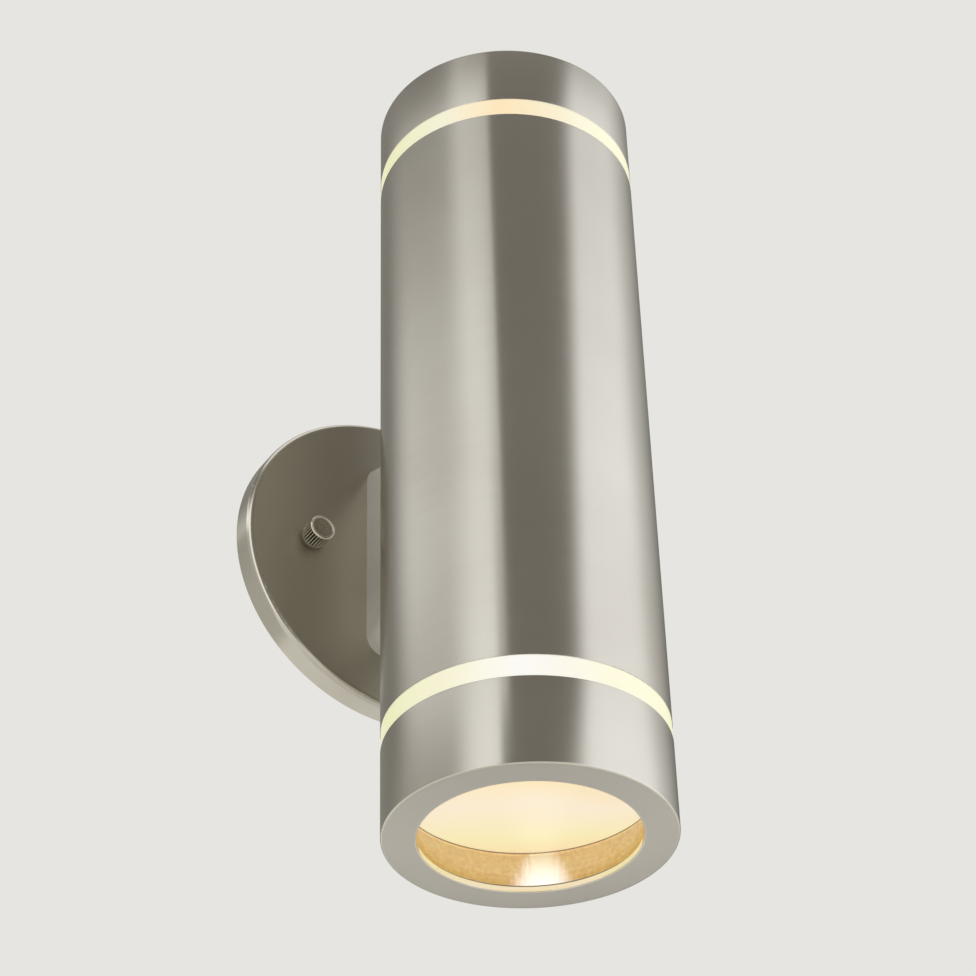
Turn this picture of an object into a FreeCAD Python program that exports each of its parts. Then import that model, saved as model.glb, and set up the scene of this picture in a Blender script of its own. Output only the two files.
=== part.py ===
import FreeCAD, Part
import math
import os

import Sketcher

# Tube wall light: an upright tube with a lit end and a lit ring at each end, held by a neck
# in front of a round canopy.  Millimetres, +Z up.  The origin is the centre of the canopy's
# back, on the wall; the light stands out towards -Y and X runs across it.

V = FreeCAD.Vector

doc = FreeCAD.newDocument("TubeWallLight")
sheet = doc.addObject("Spreadsheet::Sheet", "Sizes")
aliases = []


class Size:
    """A length that carries its expression in the sheet's names along with its number."""

    def __init__(self, text, number):
        self.text = text
        self.number = number

    def __add__(self, other):
        other = as_size(other)
        return Size("(%s + %s)" % (self.text, other.text), self.number + other.number)

    def __sub__(self, other):
        other = as_size(other)
        return Size("(%s - %s)" % (self.text, other.text), self.number - other.number)

    def __mul__(self, other):
        other = as_size(other)
        return Size("(%s * %s)" % (self.text, other.text), self.number * other.number)

    def __truediv__(self, other):
        other = as_size(other)
        return Size("(%s / %s)" % (self.text, other.text), self.number / other.number)

    def __neg__(self):
        return Size("(0 - %s)" % self.text, -self.number)


def as_size(value):
    return value if isinstance(value, Size) else Size(repr(value), value)


def root(value):
    return Size("sqrt(%s)" % value.text, math.sqrt(value.number))


def size(alias, number):
    """One driving dimension: a row of the sheet, named by its alias."""
    aliases.append(alias)
    row = len(aliases)
    sheet.set("A%d" % row, alias)
    sheet.set("B%d" % row, repr(number))
    sheet.setAlias("B%d" % row, alias)
    return Size("Sizes." + alias, number)


# ---- driving dimensions ----

# the whole light
tube_radius = size("tube_radius", 45.0)
overall_height = size("overall_height", 290.0)
projection = size("projection", 85.0)                    # wall to the tube's axis
shell_wall = size("shell_wall", 2.5)                     # tube and collars
edge_break = size("edge_break", 0.3)                     # soft edges beside the light rings

# end collars
lower_collar_height = size("lower_collar_height", 29.6)
upper_collar_height = size("upper_collar_height", 24.3)
rim_opening_radius = size("rim_opening_radius", 34.2)
rim_thickness = size("rim_thickness", 2.0)
rim_round = size("rim_round", 0.6)

# light rings
ring_band = size("ring_band", 7.0)                       # the height that shows
ring_setback = size("ring_setback", 0.2)                 # below the tube's surface
ring_wall = size("ring_wall", 4.8)
ring_spigot = size("ring_spigot", 6.0)                   # the length inside the tube
spigot_gap = size("spigot_gap", 0.1)

# what lies in each collar, from its rim inwards
glass_gasket_thickness = size("glass_gasket_thickness", 0.8)
glass_gasket_lip = size("glass_gasket_lip", 0.8)         # how far it stays back from the opening
glass_thickness = size("glass_thickness", 3.0)
glass_gap = size("glass_gap", 0.5)
reflector_wall = size("reflector_wall", 2.4)
reflector_gap = size("reflector_gap", 0.2)
diffuser_depth = size("diffuser_depth", 18.8)            # end face to the diffuser's outer face
diffuser_thickness = size("diffuser_thickness", 2.0)
diffuser_gap = size("diffuser_gap", 0.3)

# light engine behind each diffuser
sink_gap = size("sink_gap", 0.3)
sink_base = size("sink_base", 4.0)
fin_rim = size("fin_rim", 2.2)                           # step from the base's edge to the fins
fin_height = size("fin_height", 14.0)
fin_pitch = size("fin_pitch", 6.0)
fin_slot = size("fin_slot", 4.4)
first_slot = size("first_slot", 34.0)                    # from the axis to the first slot, at the front
slot_count = 7
pad_thickness = size("pad_thickness", 0.5)
pad_margin = size("pad_margin", 1.0)                     # from the board's edge to the pad's
board_thickness = size("board_thickness", 1.6)
board_radius = size("board_radius", 32.0)
led_side = size("led_side", 3.0)
led_height = size("led_height", 0.8)
led_circle = size("led_circle", 20.0)
led_count = 12
board_screw_inset = size("board_screw_inset", 5.0)       # from the board's edge
board_screw_count = 3

# chassis inside the tube
chassis_width = size("chassis_width", 30.0)
chassis_sheet = size("chassis_sheet", 1.5)
chassis_flange = size("chassis_flange", 28.0)
chassis_bend = size("chassis_bend", 1.0)
chassis_gap = size("chassis_gap", 0.2)
flange_gap = size("flange_gap", 4.0)                     # between the fins and the chassis flange
sink_screw_spread = size("sink_screw_spread", 18.0)      # between the two screws of a heat sink
sink_screw_inset = size("sink_screw_inset", 12.0)        # from the chassis' back to their axes
saddle_width = size("saddle_width", 28.0)
saddle_height = size("saddle_height", 60.0)
grommet_wall = size("grommet_wall", 1.4)
grommet_flange = size("grommet_flange", 1.8)             # how far its lips reach over the sheet
grommet_lip = size("grommet_lip", 1.0)

# driver
driver_width = size("driver_width", 26.0)
driver_depth = size("driver_depth", 18.0)
driver_length = size("driver_length", 46.0)
driver_foot = size("driver_foot", 7.0)
driver_foot_thickness = size("driver_foot_thickness", 2.0)
driver_round = size("driver_round", 1.5)
driver_gap = size("driver_gap", 3.0)                     # above the head of the upper neck screw

# neck
neck_width = size("neck_width", 26.8)
neck_height = size("neck_height", 80.0)
neck_front_width = size("neck_front_width", 24.0)
neck_front_height = size("neck_front_height", 58.0)
neck_round = size("neck_round", 7.0)
neck_overlap = size("neck_overlap", 5.0)                 # the loft runs past the tube, then is cut to it
duct_radius = size("duct_radius", 5.0)

# canopy and what holds it to the wall
canopy_radius = size("canopy_radius", 60.0)
canopy_depth = size("canopy_depth", 9.0)
canopy_wall = size("canopy_wall", 1.5)
canopy_round = size("canopy_round", 2.0)
canopy_gasket_width = size("canopy_gasket_width", 2.5)
canopy_gasket_thickness = size("canopy_gasket_thickness", 2.5)
canopy_gasket_gap = size("canopy_gasket_gap", 0.2)
plate_thickness = size("plate_thickness", 2.0)
plate_width = size("plate_width", 24.0)
plate_end = size("plate_end", 1.6)                       # past the box slots
plate_side_end = size("plate_side_end", 8.0)             # past the studs' axes
plate_round = size("plate_round", 8.0)
plate_bore_radius = size("plate_bore_radius", 8.0)
box_screw_spacing = size("box_screw_spacing", 88.9)      # outlet box, 3 1/2 in
box_slot_radius = size("box_slot_radius", 2.4)
box_slot_length = size("box_slot_length", 7.0)
ground_screw_offset = size("ground_screw_offset", 21.5)  # from the middle of the plate, to the right
ground_head_width = size("ground_head_width", 8.0)
ground_head_height = size("ground_head_height", 2.6)

# studs and thumb nuts
stud_spacing = size("stud_spacing", 70.0)
stud_radius = size("stud_radius", 2.083)                 # No. 8 thread, 4.166 mm across
stud_tip = size("stud_tip", 0.4)
stud_hole_gap = size("stud_hole_gap", 0.35)
thread_gap = size("thread_gap", 0.05)
lock_nut_width = size("lock_nut_width", 8.73)
lock_nut_height = size("lock_nut_height", 2.8)
washer_thickness = size("washer_thickness", 0.8)
washer_radius = size("washer_radius", 4.3)
thumb_nut_radius = size("thumb_nut_radius", 4.75)
thumb_nut_height = size("thumb_nut_height", 6.7)
thumb_nut_chamfer = size("thumb_nut_chamfer", 0.45)
thumb_nut_face = size("thumb_nut_face", 0.9)             # width of the rim round the dished face
thumb_nut_dish = size("thumb_nut_dish", 0.25)
thumb_nut_cap = size("thumb_nut_cap", 1.1)               # closed end beyond the threaded bore
stud_end_gap = size("stud_end_gap", 0.6)                 # between the stud's tip and the bore's end
knurl_depth = size("knurl_depth", 0.24)
knurl_width = size("knurl_width", 0.48)                  # of one groove, at the nut's surface
knurl_plain = size("knurl_plain", 0.7)                   # plain band below the outer face
knurl_count = 30

# screws
screw_radius = size("screw_radius", 2.0)                 # M4, neck and canopy
screw_gap = size("screw_gap", 0.25)
screw_head_radius = size("screw_head_radius", 3.5)
screw_head_height = size("screw_head_height", 2.4)
screw_socket_width = size("screw_socket_width", 2.5)
screw_socket_depth = size("screw_socket_depth", 1.4)
screw_bite = size("screw_bite", 10.0)                    # length that turns into the neck
neck_screw_offset = size("neck_screw_offset", 18.0)
canopy_screw_offset = size("canopy_screw_offset", 28.0)
small_screw_radius = size("small_screw_radius", 1.5)     # M3, boards, heat sinks and driver
small_head_radius = size("small_head_radius", 2.75)
small_head_height = size("small_head_height", 1.9)
small_socket_width = size("small_socket_width", 2.0)
small_socket_depth = size("small_socket_depth", 1.1)
small_bite = size("small_bite", 3.5)

# ---- sizes that follow from them ----

zero = 0
match_tolerance = 1e-4                                   # for finding an edge by its place
shell_bore = tube_radius - shell_wall
end_height = overall_height / 2
chassis_back = root(shell_bore * shell_bore - chassis_width * chassis_width / 4) - chassis_gap
chassis_front = chassis_back - chassis_sheet
glass_seat = rim_thickness + glass_gasket_thickness
glass_back = glass_seat + glass_thickness
diffuser_back = diffuser_depth + diffuser_thickness
neck_seat = projection - tube_radius
thread_hole = small_screw_radius + thread_gap
driver_start = neck_screw_offset + screw_head_radius + driver_gap
plate_reach = (box_screw_spacing + box_slot_length) / 2 + plate_end
plate_side_reach = stud_spacing / 2 + plate_side_end
thumb_nut_bore = thumb_nut_height - thumb_nut_cap

ends = {
    "lower": {"collar": lower_collar_height, "at": -end_height, "turn": 0},
    "upper": {"collar": upper_collar_height, "at": end_height, "turn": 180},
}


def ring_end(end):
    """Distance from the end face to the tube's end, where the light ring stops showing."""
    return end["collar"] + ring_band


def sink_seat(end):
    return ring_end(end) + ring_spigot


# ---- helpers ----

UPRIGHT = FreeCAD.Rotation()
OUT_OF_WALL = FreeCAD.Rotation(V(1, 0, 0), 90)           # local +Z becomes -Y, local +Y becomes +Z
INTO_WALL = FreeCAD.Rotation(V(1, 0, 0), -90)            # local +Z becomes +Y


def bind(thing, path, value):
    thing.setExpression(path, as_size(value).text)


def place(piece, x=zero, y=zero, z=zero, rotation=UPRIGHT):
    piece.Placement = FreeCAD.Placement(V(0, 0, 0), rotation)
    bind(piece, "Placement.Base.x", x)
    bind(piece, "Placement.Base.y", y)
    bind(piece, "Placement.Base.z", z)
    return piece


def place_in_end(piece, end, depth=zero):
    """Depth is counted from the end face inwards, along the piece's own +Z."""
    turned_over = FreeCAD.Rotation(V(0, 1, 0), end["turn"])
    inwards = depth if end["turn"] == 0 else -as_size(depth)
    return place(piece, y=-projection, z=end["at"] + inwards, rotation=turned_over)


def new_body(label):
    body = doc.addObject("PartDesign::Body", label)
    body.Label = label
    return body


def sketch_on(body, role, offset=zero):
    sketch = body.newObject("Sketcher::SketchObject", body.Label + "_sketch")
    plane = [item for item in body.Origin.OriginFeatures if item.Role == role][0]
    sketch.AttachmentSupport = [(plane, "")]
    sketch.MapMode = "FlatFace"
    bind(sketch, "AttachmentOffset.Base.z", offset)
    return sketch


def pin_point(sketch, geometry, point, x, y):
    """Hold one point of a sketch at (x, y), with both bound to the sheet."""
    for axis, line, value in (("DistanceX", -2, x), ("DistanceY", -1, y)):
        if value is zero:
            sketch.addConstraint(Sketcher.Constraint("PointOnObject", geometry, point, line))
        else:
            number = as_size(value).number
            index = sketch.addConstraint(Sketcher.Constraint(axis, -1, 1, geometry, point, number))
            bind(sketch, "Constraints[%d]" % index, value)


def spot(x, y):
    return V(as_size(x).number, as_size(y).number, 0)


def polygon(sketch, corners):
    first = sketch.GeometryCount
    count = len(corners)
    spots = [spot(x, y) for x, y in corners]
    for index in range(count):
        sketch.addGeometry(Part.LineSegment(spots[index], spots[(index + 1) % count]), False)
    for index in range(count):
        following = first + (index + 1) % count
        sketch.addConstraint(Sketcher.Constraint("Coincident", first + index, 2, following, 1))
        pin_point(sketch, first + index, 1, *corners[index])


def rectangle(sketch, left, low, right, high):
    polygon(sketch, [(left, low), (right, low), (right, high), (left, high)])


def circle(sketch, radius, x=zero, y=zero):
    index = sketch.addGeometry(Part.Circle(spot(x, y), V(0, 0, 1), radius.number), False)
    constraint = sketch.addConstraint(Sketcher.Constraint("Radius", index, radius.number))
    bind(sketch, "Constraints[%d]" % constraint, radius)
    pin_point(sketch, index, 3, x, y)


def rounded_rectangle(sketch, half_width, half_height, radius):
    """Upright rectangle about the sketch's origin, with an arc at each corner."""
    flat_x = half_width - radius
    flat_y = half_height - radius
    runs = [
        ((-flat_x, -half_height), (flat_x, -half_height)), ((half_width, -flat_y), (half_width, flat_y)),
        ((flat_x, half_height), (-flat_x, half_height)), ((-half_width, flat_y), (-half_width, -flat_y))]
    for start, end in runs:
        line = sketch.addGeometry(Part.LineSegment(spot(*start), spot(*end)), False)
        pin_point(sketch, line, 1, *start)
        pin_point(sketch, line, 2, *end)
    centres = [(flat_x, -flat_y), (flat_x, flat_y), (-flat_x, flat_y), (-flat_x, -flat_y)]
    quarter = math.pi / 2
    for corner, centre in enumerate(centres):
        whole = Part.Circle(spot(*centre), V(0, 0, 1), radius.number)
        bend = Part.ArcOfCircle(whole, (corner - 1) * quarter, corner * quarter)
        arc = sketch.addGeometry(bend, False)
        sketch.addConstraint(Sketcher.Constraint("Coincident", arc, 1, corner, 2))
        sketch.addConstraint(Sketcher.Constraint("Coincident", arc, 2, (corner + 1) % len(runs), 1))
        index = sketch.addConstraint(Sketcher.Constraint("Radius", arc, radius.number))
        bind(sketch, "Constraints[%d]" % index, radius)


def turned(label, profile):
    """A piece turned about its own Z axis from (radius, height) corners."""
    body = new_body(label)
    sketch = sketch_on(body, "XZ_Plane")
    polygon(sketch, profile)
    spin = body.newObject("PartDesign::Revolution", label + "_spin")
    spin.Profile = sketch
    spin.ReferenceAxis = (sketch, ["V_Axis"])
    spin.Angle = 360
    return body


def padded(body, sketch, length, both_sides=False):
    pad = body.newObject("PartDesign::Pad", body.Label + "_pad")
    pad.Profile = sketch
    pad.SideType = "Symmetric" if both_sides else "One side"
    bind(pad, "Length", length)
    return pad


def cut_through(body, sketch, both_sides=False):
    """Cut right through, against the sketch's normal or to both sides."""
    pocket = body.newObject("PartDesign::Pocket", body.Label + "_cut")
    pocket.Profile = sketch
    pocket.Type = "ThroughAll"
    pocket.SideType = "Symmetric" if both_sides else "One side"
    return pocket


def cut_to_depth(body, sketch, depth, along_normal=False):
    pocket = body.newObject("PartDesign::Pocket", body.Label + "_cut")
    pocket.Profile = sketch
    pocket.Reversed = along_normal
    bind(pocket, "Length", depth)
    return pocket


def repeat_about_z(body, feature, count):
    pattern = body.newObject("PartDesign::PolarPattern", body.Label + "_pattern")
    pattern.Originals = [feature]
    axis = [item for item in body.Origin.OriginFeatures if item.Role == "Z_Axis"][0]
    pattern.Axis = (axis, [""])
    pattern.Angle = 360
    pattern.Occurrences = count
    body.Tip = pattern
    return pattern


def soften(body, radius, wanted):
    """Fillet the edges of the piece so far for which wanted(edge) is true."""
    doc.recompute()
    base = body.Tip
    names = ["Edge%d" % (index + 1) for index, edge in enumerate(base.Shape.Edges) if wanted(edge)]
    fillet = body.newObject("PartDesign::Fillet", body.Label + "_soft")
    fillet.Base = (base, names)
    bind(fillet, "Radius", radius)
    return fillet


def is_rim(*rims):
    """Test for the full circles of a turned piece, each given as (radius, height)."""
    def wanted(edge):
        if not isinstance(edge.Curve, Part.Circle):
            return False
        found = edge.Curve
        return any(same(found.Radius, radius) and same(found.Center.z, height) for radius, height in rims)
    return wanted


def same(measured, value):
    return abs(measured - as_size(value).number) < match_tolerance


def arm_end_corner(edge):
    """True for an upright edge at the end of one of the plate's arms."""
    points = [vertex.Point for vertex in edge.Vertexes]
    upright = same(points[0].x, points[-1].x) and same(points[0].y, points[-1].y)
    return upright and math.hypot(points[0].x, points[0].y) > plate_width.number


def primitive(kind, name, sizes):
    solid = doc.addObject("Part::" + kind, name)
    for path, value in sizes.items():
        bind(solid, path, value)
    return solid


def combine(kind, label, base, tool):
    result = doc.addObject("Part::" + kind, label)
    result.Base = base
    result.Tool = tool
    result.Label = label
    return result


def group(kind, label, members):
    """Several solids as one: Compound keeps them apart, MultiFuse joins them."""
    result = doc.addObject("Part::" + kind, label)
    if kind == "Compound":
        result.Links = members
    else:
        result.Shapes = members
    result.Label = label
    return result


def hexagon(name, width_over_flats, height):
    corner_radius = width_over_flats / math.sqrt(3)
    return primitive("Prism", name, {"Circumradius": corner_radius, "Height": height})


def socket_screw(name, head, socket, shank):
    """Round head with a hexagon socket and a shank along +Z, the head's seat at height 0.

    Head and shank are given as (radius, length), the socket as (width, depth).
    """
    head_solid = primitive("Cylinder", name + "_head", {"Radius": head[0], "Height": head[1]})
    place(head_solid, z=-head[1])
    shank_solid = primitive("Cylinder", name + "_shank", {"Radius": shank[0], "Height": shank[1]})
    socket_solid = place(hexagon(name + "_socket", *socket), z=-head[1])
    solid = combine("Fuse", name + "_solid", head_solid, shank_solid)
    return combine("Cut", name, solid, socket_solid)


def small_screw(name, length):
    return socket_screw(
        name, (small_head_radius, small_head_height), (small_socket_width, small_socket_depth),
        (small_screw_radius, length))


def large_screw(name, length):
    return socket_screw(
        name, (screw_head_radius, screw_head_height), (screw_socket_width, screw_socket_depth),
        (screw_radius, length))


# ---- tube and collars ----

def make_main_tube():
    low = ring_end(ends["lower"]) - end_height
    high = end_height - ring_end(ends["upper"])
    body = turned("main_tube", [
        (shell_bore, low), (tube_radius, low), (tube_radius, high), (shell_bore, high)])
    holes = sketch_on(body, "XZ_Plane")
    circle(holes, duct_radius)
    for side in (-1, 1):
        circle(holes, screw_radius + screw_gap, y=neck_screw_offset * side)
    cut_through(body, holes)
    soften(body, edge_break, is_rim((tube_radius, low), (tube_radius, high)))
    return place(body, y=-projection)


def make_collar(name, end):
    height = end["collar"]
    body = turned(name + "_collar", [
        (rim_opening_radius, zero), (tube_radius, zero), (tube_radius, height),
        (shell_bore, height), (shell_bore, rim_thickness), (rim_opening_radius, rim_thickness)])
    soften(body, rim_round, is_rim((tube_radius, zero)))
    soften(body, edge_break, is_rim((tube_radius, height), (rim_opening_radius, zero)))
    return place_in_end(body, end)


def make_light_ring(name, end):
    spigot = shell_bore - spigot_gap
    band = tube_radius - ring_setback
    bore = band - ring_wall
    low, high = end["collar"], ring_end(end)
    body = turned(name + "_light_ring", [
        (bore, diffuser_back), (spigot, diffuser_back), (spigot, low), (band, low),
        (band, high), (spigot, high), (spigot, sink_seat(end)), (bore, sink_seat(end))])
    return place_in_end(body, end)


# ---- optics in a collar, from the rim inwards ----

def make_glass_gasket(name, end):
    inner = rim_opening_radius + glass_gasket_lip
    outer = shell_bore - glass_gap
    body = turned(name + "_glass_gasket", [
        (inner, rim_thickness), (outer, rim_thickness), (outer, glass_seat), (inner, glass_seat)])
    return place_in_end(body, end)


def make_glass(name, end):
    radius = shell_bore - glass_gap
    body = turned(name + "_glass", [
        (zero, glass_seat), (radius, glass_seat), (radius, glass_back), (zero, glass_back)])
    return place_in_end(body, end)


def make_reflector(name, end):
    outer = shell_bore - reflector_gap
    inner = outer - reflector_wall
    body = turned(name + "_reflector", [
        (inner, glass_back), (outer, glass_back), (outer, diffuser_depth), (inner, diffuser_depth)])
    return place_in_end(body, end)


def make_diffuser(name, end):
    radius = shell_bore - diffuser_gap
    body = turned(name + "_diffuser", [
        (zero, diffuser_depth), (radius, diffuser_depth), (radius, diffuser_back), (zero, diffuser_back)])
    return place_in_end(body, end)


# ---- light engine ----

def board_screw_spots():
    """Spots of the board's screws, each midway between two LEDs, the first one at the front."""
    circle_radius = board_radius - board_screw_inset
    for index in range(board_screw_count):
        angle = math.radians(-90 + 180 / led_count + 360 * index / board_screw_count)
        yield circle_radius * math.cos(angle), circle_radius * math.sin(angle)


def sink_screw_spots():
    for side in (-1, 1):
        yield sink_screw_spread / 2 * side, chassis_back - sink_screw_inset


def make_heat_sink(name, end):
    edge = shell_bore - sink_gap
    fins = edge - fin_rim
    top = sink_base + fin_height
    body = turned(name + "_heat_sink", [
        (zero, zero), (edge, zero), (edge, sink_base), (fins, sink_base), (fins, top), (zero, top)])
    slot = sketch_on(body, "XY_Plane", top)
    rectangle(slot, -edge, -first_slot, edge, fin_slot - first_slot)
    first = cut_to_depth(body, slot, fin_height)
    doc.recompute()
    rest = body.newObject("PartDesign::LinearPattern", name + "_fins")
    rest.Originals = [first]
    rest.Direction = (slot, ["V_Axis"])
    bind(rest, "Length", fin_pitch * (slot_count - 1))
    rest.Occurrences = slot_count
    body.Tip = rest
    flange_room = sketch_on(body, "XY_Plane", top)
    rectangle(flange_room, -edge, chassis_back - chassis_flange - flange_gap, edge, edge)
    cut_to_depth(body, flange_room, fin_height)
    holes = sketch_on(body, "XY_Plane", top)
    for x, y in list(board_screw_spots()) + list(sink_screw_spots()):
        circle(holes, thread_hole, x, y)
    cut_through(body, holes)
    return place_in_end(body, end, sink_seat(end))


def make_disc_with_holes(label, end, radius, thickness, depth):
    body = new_body(label)
    outline = sketch_on(body, "XY_Plane")
    circle(outline, radius)
    for x, y in board_screw_spots():
        circle(outline, small_screw_radius + screw_gap, x, y)
    padded(body, outline, thickness)
    return place_in_end(body, end, depth)


def make_leds(name, end, depth):
    body = new_body(name + "_leds")
    outline = sketch_on(body, "XY_Plane")
    half = led_side / 2
    rectangle(outline, led_circle - half, -half, led_circle + half, half)
    first = padded(body, outline, led_height)
    doc.recompute()
    repeat_about_z(body, first, led_count)
    return place_in_end(body, end, depth)


def make_board_screws(name, end, depth):
    screws = []
    for index, (x, y) in enumerate(board_screw_spots()):
        length = board_thickness + pad_thickness + small_bite
        screws.append(place(small_screw("%s_board_screw_%d" % (name, index), length), x, y))
    return place_in_end(group("Compound", name + "_board_screws", screws), end, depth)


def make_sink_screws(name, end):
    """Screws through the chassis flange into the heat sink, heads on the inner side."""
    screws = []
    flip = FreeCAD.Rotation(V(1, 0, 0), 180)
    for index, (x, y) in enumerate(sink_screw_spots()):
        solid = small_screw("%s_sink_screw_%d" % (name, index), chassis_sheet + small_bite)
        screws.append(place(solid, x, y, chassis_sheet, flip))
    depth = sink_seat(end) + sink_base
    return place_in_end(group("Compound", name + "_sink_screws", screws), end, depth)


def make_end(name, end):
    """Everything in one end of the tube, in the order that it goes together."""
    pad_depth = sink_seat(end) - pad_thickness
    board_depth = pad_depth - board_thickness
    return [
        make_collar(name, end),
        make_light_ring(name, end),
        make_glass_gasket(name, end),
        make_glass(name, end),
        make_reflector(name, end),
        make_diffuser(name, end),
        make_heat_sink(name, end),
        make_disc_with_holes(
            name + "_thermal_pad", end, board_radius - pad_margin, pad_thickness, pad_depth),
        make_disc_with_holes(name + "_led_board", end, board_radius, board_thickness, board_depth),
        make_leds(name, end, board_depth - led_height),
        make_board_screws(name, end, board_depth),
        make_sink_screws(name, end),
    ]


# ---- chassis and driver ----

def make_chassis():
    body = new_body("chassis")
    low = sink_seat(ends["lower"]) + sink_base - end_height
    high = end_height - sink_seat(ends["upper"]) - sink_base
    tip = chassis_back - chassis_flange
    outline = sketch_on(body, "YZ_Plane")
    polygon(outline, [
        (tip, low), (chassis_back, low), (chassis_back, high), (tip, high),
        (tip, high - chassis_sheet), (chassis_front, high - chassis_sheet),
        (chassis_front, low + chassis_sheet), (tip, low + chassis_sheet)])
    padded(body, outline, chassis_width, both_sides=True)
    soften(body, chassis_bend, lambda edge: runs_across(edge, chassis_front))
    soften(body, chassis_bend + chassis_sheet, lambda edge: runs_across(edge, chassis_back))
    flange_holes = sketch_on(body, "XY_Plane")
    for x, y in sink_screw_spots():
        circle(flange_holes, small_screw_radius + screw_gap, x, y)
    cut_through(body, flange_holes, both_sides=True)
    web_holes = sketch_on(body, "XZ_Plane")
    circle(web_holes, duct_radius + grommet_wall)
    for side in (-1, 1):
        circle(web_holes, screw_radius + screw_gap, y=neck_screw_offset * side)
    for height in driver_screw_heights():
        circle(web_holes, thread_hole, y=height)
    cut_through(body, web_holes)
    return place(body, y=-projection)


def runs_across(edge, y):
    """True for a straight edge along X at that distance behind the tube's axis."""
    points = [vertex.Point for vertex in edge.Vertexes]
    across = same(abs(points[0].x - points[-1].x), chassis_width)
    return across and all(same(point.y, y) for point in points)


def make_saddle_spacer():
    """Fills the gap between the flat chassis and the round tube behind it."""
    block = primitive("Box", "saddle_block", {
        "Length": saddle_width, "Width": shell_bore - chassis_back, "Height": saddle_height})
    place(block, -saddle_width / 2, chassis_back, -saddle_height / 2)
    round_side = primitive("Cylinder", "saddle_round", {"Radius": shell_bore, "Height": saddle_height})
    place(round_side, z=-saddle_height / 2)
    blank = combine("Common", "saddle_blank", block, round_side)
    length = shell_bore
    wire_hole = primitive("Cylinder", "saddle_wire_hole", {
        "Radius": duct_radius + grommet_wall + grommet_flange + screw_gap, "Height": length})
    tools = [place(wire_hole, rotation=INTO_WALL)]
    for index, side in enumerate((-1, 1)):
        hole = primitive("Cylinder", "saddle_hole_%d" % index, {
            "Radius": screw_radius + screw_gap, "Height": length})
        tools.append(place(hole, z=neck_screw_offset * side, rotation=INTO_WALL))
    spacer = combine("Cut", "saddle_spacer", blank, group("MultiFuse", "saddle_holes", tools))
    return place(spacer, y=-projection)


def make_wire_grommet():
    """Soft bush in the chassis hole, its lips on both faces of the sheet."""
    groove = duct_radius + grommet_wall - thread_gap
    lip = groove + grommet_flange
    top = grommet_lip + chassis_sheet
    body = turned("wire_grommet", [
        (duct_radius, zero), (lip, zero), (lip, grommet_lip), (groove, grommet_lip),
        (groove, top), (lip, top), (lip, top + grommet_lip), (duct_radius, top + grommet_lip)])
    return place(body, y=chassis_front - grommet_lip - projection, rotation=INTO_WALL)


def driver_screw_heights():
    low = driver_start + driver_foot / 2
    return [low, low + driver_foot + driver_length]


def make_led_driver():
    body = new_body("led_driver")
    half = driver_width / 2
    top = driver_start + driver_length + driver_foot * 2
    foot = sketch_on(body, "XZ_Plane")
    rectangle(foot, -half, driver_start, half, top)
    for height in driver_screw_heights():
        circle(foot, small_screw_radius + screw_gap, y=height)
    padded(body, foot, driver_foot_thickness)
    case = sketch_on(body, "XZ_Plane")
    rectangle(case, -half, driver_start + driver_foot, half, top - driver_foot)
    padded(body, case, driver_depth)
    soften(body, driver_round, on_case_front)
    return place(body, y=chassis_front - projection)


def on_case_front(edge):
    return all(same(vertex.Y, -driver_depth) for vertex in edge.Vertexes)


def make_driver_screws():
    screws = []
    for index, height in enumerate(driver_screw_heights()):
        solid = small_screw("driver_screw_%d" % index, driver_foot_thickness + chassis_sheet)
        screws.append(place(solid, z=height, rotation=INTO_WALL))
    seat = chassis_front - driver_foot_thickness
    return place(group("Compound", "driver_screws", screws), y=seat - projection)


# ---- neck ----

def make_neck():
    """Tapering arm between canopy and tube, hollow for the wires, hollowed to sit on the tube."""
    body = new_body("neck")
    back = sketch_on(body, "XY_Plane", canopy_depth)
    rounded_rectangle(back, neck_width / 2, neck_height / 2, neck_round)
    front = sketch_on(body, "XY_Plane", neck_seat + neck_overlap)
    rounded_rectangle(front, neck_front_width / 2, neck_front_height / 2, neck_round)
    loft = body.newObject("PartDesign::AdditiveLoft", "neck_loft")
    loft.Profile = back
    loft.Sections = [front]
    loft.Ruled = True
    saddle = sketch_on(body, "XZ_Plane")
    circle(saddle, tube_radius, y=projection)
    cut_through(body, saddle, both_sides=True)
    duct = sketch_on(body, "XY_Plane", neck_seat + neck_overlap)
    circle(duct, duct_radius)
    cut_through(body, duct)
    thread_radius = screw_radius + thread_gap
    for offset, start, along in ((neck_screw_offset, neck_seat + neck_overlap, False),
                                 (canopy_screw_offset, canopy_depth, True)):
        threads = sketch_on(body, "XY_Plane", start)
        for side in (-1, 1):
            circle(threads, thread_radius, y=offset * side)
        depth = screw_bite + screw_radius if along else screw_bite + screw_radius + neck_overlap
        cut_to_depth(body, threads, depth, along_normal=along)
    return place(body, rotation=OUT_OF_WALL)


def make_neck_screws():
    screws = []
    length = chassis_sheet + (tube_radius - chassis_back) + screw_bite
    for index, side in enumerate((-1, 1)):
        solid = large_screw("neck_screw_%d" % index, length)
        screws.append(place(solid, z=neck_screw_offset * side, rotation=INTO_WALL))
    return place(group("Compound", "neck_screws", screws), y=chassis_front - projection)


def make_canopy_screws():
    screws = []
    length = canopy_wall + screw_bite
    for index, side in enumerate((-1, 1)):
        solid = large_screw("canopy_screw_%d" % index, length)
        screws.append(place(solid, z=canopy_screw_offset * side, rotation=OUT_OF_WALL))
    return place(group("Compound", "canopy_screws", screws), y=canopy_wall - canopy_depth)


# ---- canopy and wall hardware ----

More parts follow.
